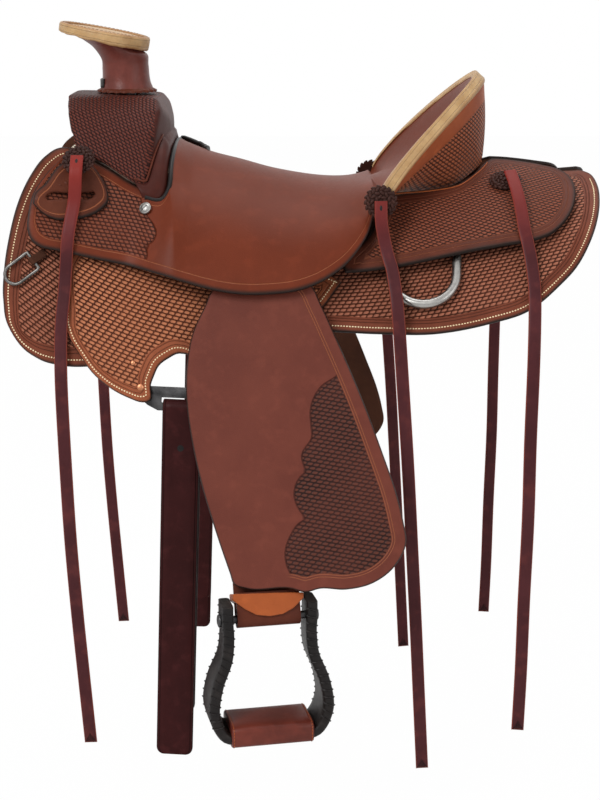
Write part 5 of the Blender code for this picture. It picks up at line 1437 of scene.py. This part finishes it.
def makeHornCollar():
    # Scalloped collar at the neck's foot, and a small dark strap round the front.
    verts = []
    turns, wide = 120, collar["radius"]
    for a in turned(turns):
        dip = abs(math.sin(a * collar["scallops"])) * collar["dip"]
        section = ((0.0300, 0.1386), (0.0320, 0.1378), (wide + dip, 0.1368), (wide + dip, 0.1345),
                   (0.0300, 0.1345))
        for r, z in section:
            verts.append(Vector((collar["x"] + r * math.cos(a), r * math.sin(a), z - (r - wide) * 0.25)))
    faces = turnedOut(verts, ringFaces(turns, len(section), loop=True, flip=True), Vector((1.0, 0.0, 1.0)))
    fit("horn_collar", "strapping", "saddle", "neck_leather", (verts, faces), angle=70)
    line = [Vector((-0.210 + 0.0300 * math.cos(a), 0.0300 * math.sin(a), 0.1480 + 0.004 * math.cos(a)))
            for a in np.linspace(math.radians(150), math.radians(215), 24)]
    fit("horn_foot_strap", "black", "saddle", "black_leather",
        ribbonParts(line, Vector((0.0, 0.0, 1.0)), 0.011, 0.0022))


makeHornNeck()
makeHornCap()
makeHornBand()
makeHornCollar()
print("fork and horn covered")

# Fenders, stirrup leathers and hobble straps.
fenderOutline = (
    (-0.103, 0.012), (-0.106, 0.020), (-0.122, 0.057), (-0.129, 0.105), (-0.127, 0.148),
    (-0.123, 0.174), (-0.112, 0.224), (-0.095, 0.280), (-0.078, 0.329), (-0.074, 0.340),
    (-0.060, 0.345), (-0.010, 0.345), (0.006, 0.349), (0.022, 0.345), (0.051, 0.346),
    (0.081, 0.339), (0.107, 0.319), (0.119, 0.294), (0.116, 0.270), (0.110, 0.244),
    (0.092, 0.190), (0.071, 0.133), (0.038, 0.055), (0.024, 0.024), (0.010, -0.002),
    (-0.012, -0.012), (-0.050, -0.013), (-0.080, -0.008),
)
# The stamped panel, with its scalloped front edge.
fenderPanel = (
    (0.150, 0.060), (0.052, 0.098), (0.037, 0.109), (0.026, 0.116), (0.017, 0.128), (0.012, 0.144),
               (0.0125, 0.160),
    (0.013, 0.177), (0.007, 0.186), (0.002, 0.195), (0.004, 0.206), (0.007, 0.214), (-0.001, 0.222),
               (-0.006, 0.234),
    (-0.005, 0.248), (0.000, 0.258), (0.007, 0.267), (-0.002, 0.273), (-0.010, 0.285), (-0.016, 0.302),
               (-0.015, 0.318),
    (-0.009, 0.330), (0.0, 0.338), (-0.004, 0.420), (0.200, 0.420),
)


def makeFender(side, word):
    body = f"{word}_fender"
    made = cutSheet(f"fender_{word}_leather", fenderOutline, ply["fender"],
                    lambda x, drop, off: hung(x, drop, off, side), "fender", body, "fender_brown",
                    grid=0.0055, marksFrom=lambda spots: np.clip((-0.008 - spots[:, 0]) / 0.006, 0.0, 1.0),
                    panel=fenderPanel)
    settle(made, f"fender_{word}")
    keepShape(f"stirrup_leather_{word}", f"stirrup_leather_{word}_strap", "strapping", body, "fender_brown",
              round=0.0009)
    keepShape(f"stirrup_keeper_{word}", f"hobble_strap_{word}", "hobble", body, "hobble_orange",
              voxel=0.0009,
              calm=4)


# Stirrups: bent wood covered in laced black leather, with a wrapped tread.
stirrup = {"thick": 0.0125, "topDeep": 0.036, "footDeep": 0.056, "drop": 0.1345, "treadHalf": 0.0470,
           "treadTop": -0.117, "treadFoot": -0.1445, "treadDeep": 0.062}
legPath = ((0.0478, 0.020), (0.0478, 0.0), (0.0470, -0.016), (0.0496, -0.042), (0.0600, -0.069),
           (0.0650, -0.093),
           (0.0645, -0.108), (0.0585, -0.124), (0.0480, -0.1335), (0.0240, -0.1345), (0.0, -0.1345))
# Sections as shares of half the thickness and half the depth, and the tread's rings: place and size.
legSection = ((1.0, 0.0), (1.0, 0.6), (0.94, 0.86), (0.62, 0.97), (0.0, 1.0), (-0.62, 0.97), (-0.94, 0.86),
              (-1.0, 0.6), (-1.0, 0.0), (-1.0, -0.6), (-0.94, -0.86), (-0.62, -0.97), (0.0, -1.0),
              (0.62, -0.97),
              (0.94, -0.86), (1.0, -0.6))
laceSection = ((-0.93, 0.78), (-0.99, 0.88), (-0.5, 1.0), (0.5, 1.0), (0.99, 0.88), (0.93, 0.78))
laceRadii = [0.0004, 0.0009, 0.0011, 0.0011, 0.0009, 0.0004]
treadRings = ((-1.0, 0.86), (-0.99, 0.95), (-0.965, 1.0), (-0.93, 1.0), (-0.92, 0.985), (-0.91, 1.0),
              (-0.5, 1.0),
              (0.0, 1.0), (0.5, 1.0), (0.91, 1.0), (0.92, 0.985), (0.93, 1.0), (0.965, 1.0), (0.99, 0.95),
              (1.0, 0.86))
boltHead = ((0.0045, 0.0), (0.0074, 0.0), (0.0075, 0.0008), (0.0066, 0.0022), (0.0040, 0.0031),
            (0.001, 0.0032))


def boltFrame(side):
    along = Vector((math.cos(hang["twist"]), -side * math.sin(hang["twist"]), 0.0))
    return hung(hang["leatherX"], hang["boltDrop"], hang["boltOff"], side), along


def makeLegs(side, word):
    body = f"{word}_stirrup"
    origin, along = boltFrame(side)
    out = Vector((math.sin(hang["twist"]), side * math.cos(hang["twist"]), 0.0))
    half = smoothRun([(u, 0.0, v) for u, v in legPath], 49)
    line = [Vector((p.x, p.z)) for p in half] + [Vector((-p.x, p.z)) for p in half[-2::-1]]
    verts, laces = [], []
    run = 0.0
    for i, spot in enumerate(line):
        way = (line[min(i + 1, len(line) - 1)] - line[max(i - 1, 0)]).normalized()
        normal = Vector((-way.y, way.x))
        deep = stirrup["topDeep"] + (stirrup["footDeep"] - stirrup["topDeep"]) * between(0.0, -0.110, spot.y)
        a, b = stirrup["thick"] / 2, deep / 2
        run += (spot - line[i - 1]).length if i else 0.0
        for s, w in legSection:
            p = spot + normal * s * a
            verts.append(origin + along * p.x + Vector((0.0, 0.0, p.y)) + out * w * b)
        if -0.118 < spot.y < 0.012 and run > 0.0046:
            run = 0.0
            for edge in (-1, 1):
                ends = []
                for s, w in laceSection:
                    p = spot + normal * s * a + way * 0.0016 * s
                    ends.append(origin + along * p.x + Vector((0.0, 0.0, p.y)) + out * w * b * edge)
                laces.append(tubeParts(ends, laceRadii, 6))
    faces = turnedOut(verts, ringFaces(len(line), len(legSection)), verts[0] - verts[len(legSection) // 2])
    fit(f"stirrup_{word}_leather", "black", body, "black_leather", (verts, faces), f"stirrup_frame_{word}")
    fit(f"stirrup_{word}_lacing", "black", body, "black_leather", joinParts(laces))


def makeTread(side, word):
    # A rounded bar, with a sewn line near each end.
    body = f"{word}_stirrup"
    origin, along = boltFrame(side)
    long, deep = stirrup["treadHalf"], stirrup["treadDeep"] / 2
    top, foot = stirrup["treadTop"], stirrup["treadFoot"]
    middle = (top + foot) / 2
    section = []
    for a in turned(40):
        c, d = (math.copysign(abs(v) ** 0.45, v) for v in (math.cos(a), math.sin(a)))
        section.append((deep * c, middle + (top - foot) / 2 * d))
    place = flatFrame(origin, along, Vector((0.0, 0.0, 1.0)))
    rows = [[place(u * long, middle + (v - middle) * share, w * (1 + (share - 1) * 0.4)) for w, v in section]
            for u, share in treadRings]
    verts, faces = ringParts(rows)
    faces = turnedOut(verts, faces, verts[0] - place(0.0, middle))
    fit(f"stirrup_{word}_tread", "tread", body, "tread_brown", (verts, faces), f"stirrup_tread_{word}")
    for end, which in ((-1, "front"), (1, "rear")):
        ring = [place(end * long * 0.95, middle + (v - middle) * 1.01, w * 1.01) for w, v in section]
        ring.append(ring[0])
        centre = place(end * long * 0.95, middle)
        settle(stitchRow(f"tread_stitches_{word}_{which}", ring, lambda p: p - centre, body, "tread_brown",
                         step=0.0036, long=0.0030, wide=0.0008, look="hobble"))


def makeBolt(side, word):
    reach = legPath[0][0] + stirrup["thick"] / 2 + 0.0006
    profile = [(r, -reach - z) for r, z in boltHead[:0:-1]] + [(boltHead[0][0], -reach)]
    profile += [(r, reach + z) for r, z in boltHead]
    fit(f"stirrup_{word}_bolt", "iron", f"{word}_stirrup", "stainless_steel",
        moved(facing(*boltFrame(side)), lathe(profile, 32)), f"stirrup_bolt_{word}")


for side, word in sides:
    makeFender(side, word)
    makeLegs(side, word)
    makeTread(side, word)
    makeBolt(side, word)
print("fenders and stirrups hung")

# Rigging plates, their rivets, the latigo and the off billet.
plate = {"x": -0.134, "slotTop": -0.2000, "barTop": -0.2055, "foot": -0.2145, "lift": 0.0018,
         "thick": 0.003, "roll": 0.035}
billet = {"width": 0.043, "thick": 0.004, "loop": 0.008, "axisDrop": 0.0055, "long": 0.423, "short": 0.374,
          "corner": 0.009, "hole": (0.0042, 0.0042, 0.0003), "nearHoles": (0.045,),
          "offHoles": (0.250, 0.290, 0.330, 0.370)}
# Where the rigging's rivets sit: x, height and radius.
rivets = ((-0.1820, -0.1885, 0.0042), (-0.1905, -0.1620, 0.0030), (-0.0860, -0.1600, 0.0042),
          (-0.1050, -0.1655, 0.0030))


def billetLeg(whole, share):
    # How far a leg hangs at a share of its length, and its width there, with rounded corners at its foot.
    drop = whole * share
    left = whole - drop
    corner, narrow = billet["corner"], 0.0
    if left < corner:
        narrow = corner - math.sqrt(max(0.0, corner ** 2 - (corner - left) ** 2))
    return drop, billet["width"] - 2 * narrow * 0.85


def makeBillet(side, word):
    start = onBack(plate["x"], plate["slotTop"], plate["lift"], side)
    low = onBack(plate["x"], plate["foot"], plate["lift"], side)
    along = onBack(plate["x"] + 0.04, plate["foot"], 0.0, side) - onBack(plate["x"] - 0.04, plate["foot"],
                                                                         0.0, side)
    along = along.normalized() - Vector((0.0, 0.0, plate["roll"]))
    place = flatFrame(start, along, start - low)
    stretch = (start - low).length / (plate["slotTop"] - plate["foot"])
    barTop = (plate["barTop"] - plate["slotTop"]) * stretch
    axis = place(0.0, barTop - billet["axisDrop"], plate["thick"] / 2)
    sideways = (place(1.0, 0.0) - place(0.0, 0.0)).normalized()
    hangs = flatFrame(axis, sideways, Vector((0.0, 0.0, 1.0)))
    body, node = ("near_billet", "latigo") if side < 0 else ("off_side_billet", "off_billet")
    loop = billet["loop"]
    shares = [1.0, 0.999, 0.9965, 0.992, 0.985, 0.978] + [0.97 * (1 - i / 24) for i in range(25)]
    front = [billetLeg(billet["long"], share) for share in shares]
    behind = [billetLeg(billet["short"], share) for share in shares[::-1]]
    bends = [math.pi * i / 12 for i in range(1, 12)]
    path = [hangs(0.0, -drop, loop) for drop, _ in front]
    path += [hangs(0.0, loop * math.sin(a), loop * math.cos(a)) for a in bends]
    path += [hangs(0.0, -drop, -loop) for drop, _ in behind]
    widths = [w for _, w in front] + [billet["width"]] * len(bends) + [w for _, w in behind]
    verts, faces, *maps = ribbonParts(path, sideways, widths, billet["thick"])
    faces = turnedOut(verts, faces, verts[0] - verts[9])
    fit(f"{node}_strap", "latigo", body, "latigo_burgundy", (verts, faces, *maps), node)
    out = (hangs(0.0, 0.0, 1.0) - hangs(0.0, 0.0, 0.0)).normalized()
    face = loop + billet["thick"] / 2 - 0.0001
    # The holes are flat black discs on the strap's face: painted shade for the holes.
    fit(f"{node}_holes", "black", body, "latigo_burgundy",
        joinParts([bead(facing(hangs(0.0, -drop, face), out), billet["hole"], 20)
                   for drop in billet["nearHoles" if side < 0 else "offHoles"]]))
    keepShape(f"rigging_plate_{word}", f"rigging_plate_{word}_steel", "iron", "saddle", "blued_steel",
              round=0.0006)
    fit(f"rigging_rivets_{word}", "copper", "saddle", "stamped_orange_brown",
        joinParts([bead(facing(onBack(x, z, overSkirt + ply["rigging"] - 0.0002, side),
                               backNormal(x, z, side)),
                        (r, r, 0.0016), 16, 8) for x, z, r in rivets]))


# Dees of round steel wire, and the straps that hold them.
def deePoints(place, halfWidth, length, count):
    points = [(u * halfWidth, 0.0) for u in (-1.0, -0.5, 0.0, 0.5, 0.94)]
    points += [(halfWidth, -length * t) for t in (0.10, 0.4, 0.7)]
    for i in range(count + 1):
        a = math.pi * i / count
        points.append((halfWidth * math.cos(a), -length - halfWidth * math.sin(a)))
    points += [(-halfWidth, -length * t) for t in (0.7, 0.4, 0.10)]
    return [place(u, v) for u, v in points]


def makeDees(side, word):
    start = onBack(0.144, -0.0515, 0.0125, side)
    low = onBack(0.144, -0.1020, 0.0140, side)
    along = onBack(0.175, -0.075, 0.0, side) - onBack(0.113, -0.075, 0.0, side)
    place = flatFrame(start, along, start - low)
    length = (start - low).length - 0.038
    points = deePoints(lambda u, v: place(u, v + (0.005 if v > -0.001 else 0.0)), 0.038, length, 32)
    radii = [0.0035] * 4 + [0.0040, 0.0050] + [0.0055] * (len(points) - 8) + [0.0050, 0.0040]
    fit(f"rear_dee_{word}_steel", "steel", f"{word}_rear_dee", "stainless_steel",
        tubeParts(points, radii, 14, closed=True), f"rear_dee_{word}")
    keepShape(f"rear_dee_strap_{word}", f"rear_dee_strap_{word}_leather", "strapping", "saddle",
              "latigo_burgundy",
              round=0.0005)
    barFrom, barTo = onBack(-0.313, -0.040, 0.0100, side), onBack(-0.298, -0.059, 0.0100, side)
    middle = (barFrom + barTo) / 2
    tip = onBack(-0.3385, -0.0680, 0.0102, side)
    spot = flatFrame(middle, barTo - barFrom, middle - tip)
    points = deePoints(spot, 0.0115, 0.026, 24)
    fit(f"front_dee_{word}_steel", "dullSteel", f"{word}_front_dee", "stainless_steel",
        tubeParts(points, 0.0020, 12, closed=True), f"front_dee_{word}")
    # The tab takes the dark flesh-side finish as painted shade, so it reads as the shadow under the dee's
    # bar.
    keepShape(f"front_dee_tab_{word}", f"front_dee_tab_{word}_leather", "flesh", "saddle",
              "stamped_dark_brown",
              round=0.0003)


for side, word in sides:
    makeBillet(side, word)
    makeDees(side, word)
print("rigging and dees in place")

# Rosettes under the strings, as rings of small beads over a disc, and the slotted conchos.
studs = {
    "front": ((-0.253, -0.1362, 0.0642), (-0.10, -0.80, 0.60)),
    "middle": ((0.0925, -0.1425, 0.0180), (0.0, -0.98, 0.20)),
    "rear": ((0.2428, -0.0706, 0.0333), (-0.080, -0.456, 0.886)),
}
conchoProfile = ((0.001, 0.0), (0.0070, 0.0), (0.0072, 0.0014), (0.0068, 0.0024), (0.0062, 0.0026),
                 (0.0058, 0.0022),
                 (0.0052, 0.0026), (0.0038, 0.0036), (0.0020, 0.0040), (0.001, 0.0040))
conchoSpot = ((-0.1773, -0.1436, 0.0104), (-0.277, -0.794, 0.541))
rosette = {"radius": 0.0196, "outer": 17, "inner": 11, "strand": 0.0056}


def studPlace(spot, side):
    point, way = (Vector((v[0], -side * v[1], v[2])) for v in spot)
    return facing(point, way.normalized())


def makeRosette(place, side, word):
    at = studPlace(studs[place], side)
    radius = rosette["radius"]
    parts = [moved(at, lathe(((0.001, 0.0), (radius * 0.86, 0.0), (radius * 0.84, 0.0028),
                              (radius * 0.5, 0.0046),
                              (0.001, 0.0050)), 40))]
    for count, r, z, lean, size in ((rosette["outer"], 0.86, 0.0022, 1.05, 1.0),
                                    (rosette["outer"], 0.72, 0.0040, -1.0, 0.95),
                                    (rosette["inner"], 0.50, 0.0050, 1.0, 0.95),
                                    (rosette["inner"] - 4, 0.26, 0.0057, -0.9, 0.9)):
        for i in range(count):
            a = 2 * math.pi * (i + 0.5 * (lean > 0)) / count
            spot = at @ Matrix.Rotation(a, 4, "Z") @ Matrix.Translation((radius * r, 0.0, z))
            spot = spot @ Matrix.Rotation(lean, 4, "Z")
            parts.append(bead(spot, (rosette["strand"] * 0.74 * size, 0.0021 * size, 0.0016), 8, 6))
    fit(f"rosette_{place}_{word}_braid", "braid", "saddle", "black_leather", joinParts(parts),
        f"rosette_{place}_{word}", angle=70)


def makeConcho(side, word):
    at = studPlace(conchoSpot, side)
    fit(f"concho_{word}_steel", "steel", "saddle", "stainless_steel", moved(at, lathe(conchoProfile, 40)),
        f"concho_{word}")
    # The slot is a dark steel block in the concho's face: painted shade for the slot.
    slot = [Vector((u, v, w)) for u in (-0.0040, 0.0040) for v in (-0.0006, 0.0006) for w in (0.0030,
                                                                                              0.0041)]
    faces = [(0, 1, 3, 2), (4, 6, 7, 5), (0, 4, 5, 1), (2, 3, 7, 6), (0, 2, 6, 4), (1, 5, 7, 3)]
    turn = at @ Matrix.Rotation(0.6, 4, "Z")
    fit(f"concho_{word}_slot", "iron", "saddle", "stainless_steel", moved(turn, (slot, faces)))


for side, word in sides:
    for place in studs:
        makeRosette(place, side, word)
    makeConcho(side, word)
print("rosettes and conchos set")

# What stays as the CAD has it, with its finish.
# The tree's wood takes its dark finish as painted shade for the gaps between the leathers.
for node, look in (("horn_core", "iron"), ("ground_seat", "flesh"), ("tree_fork", "wood"),
                   ("tree_cantle", "wood"),
                   ("tree_bar_near", "wood"), ("tree_bar_off", "wood")):
    cadNodes[node].data.materials.clear()
    cadNodes[node].data.materials.append(looks[look])
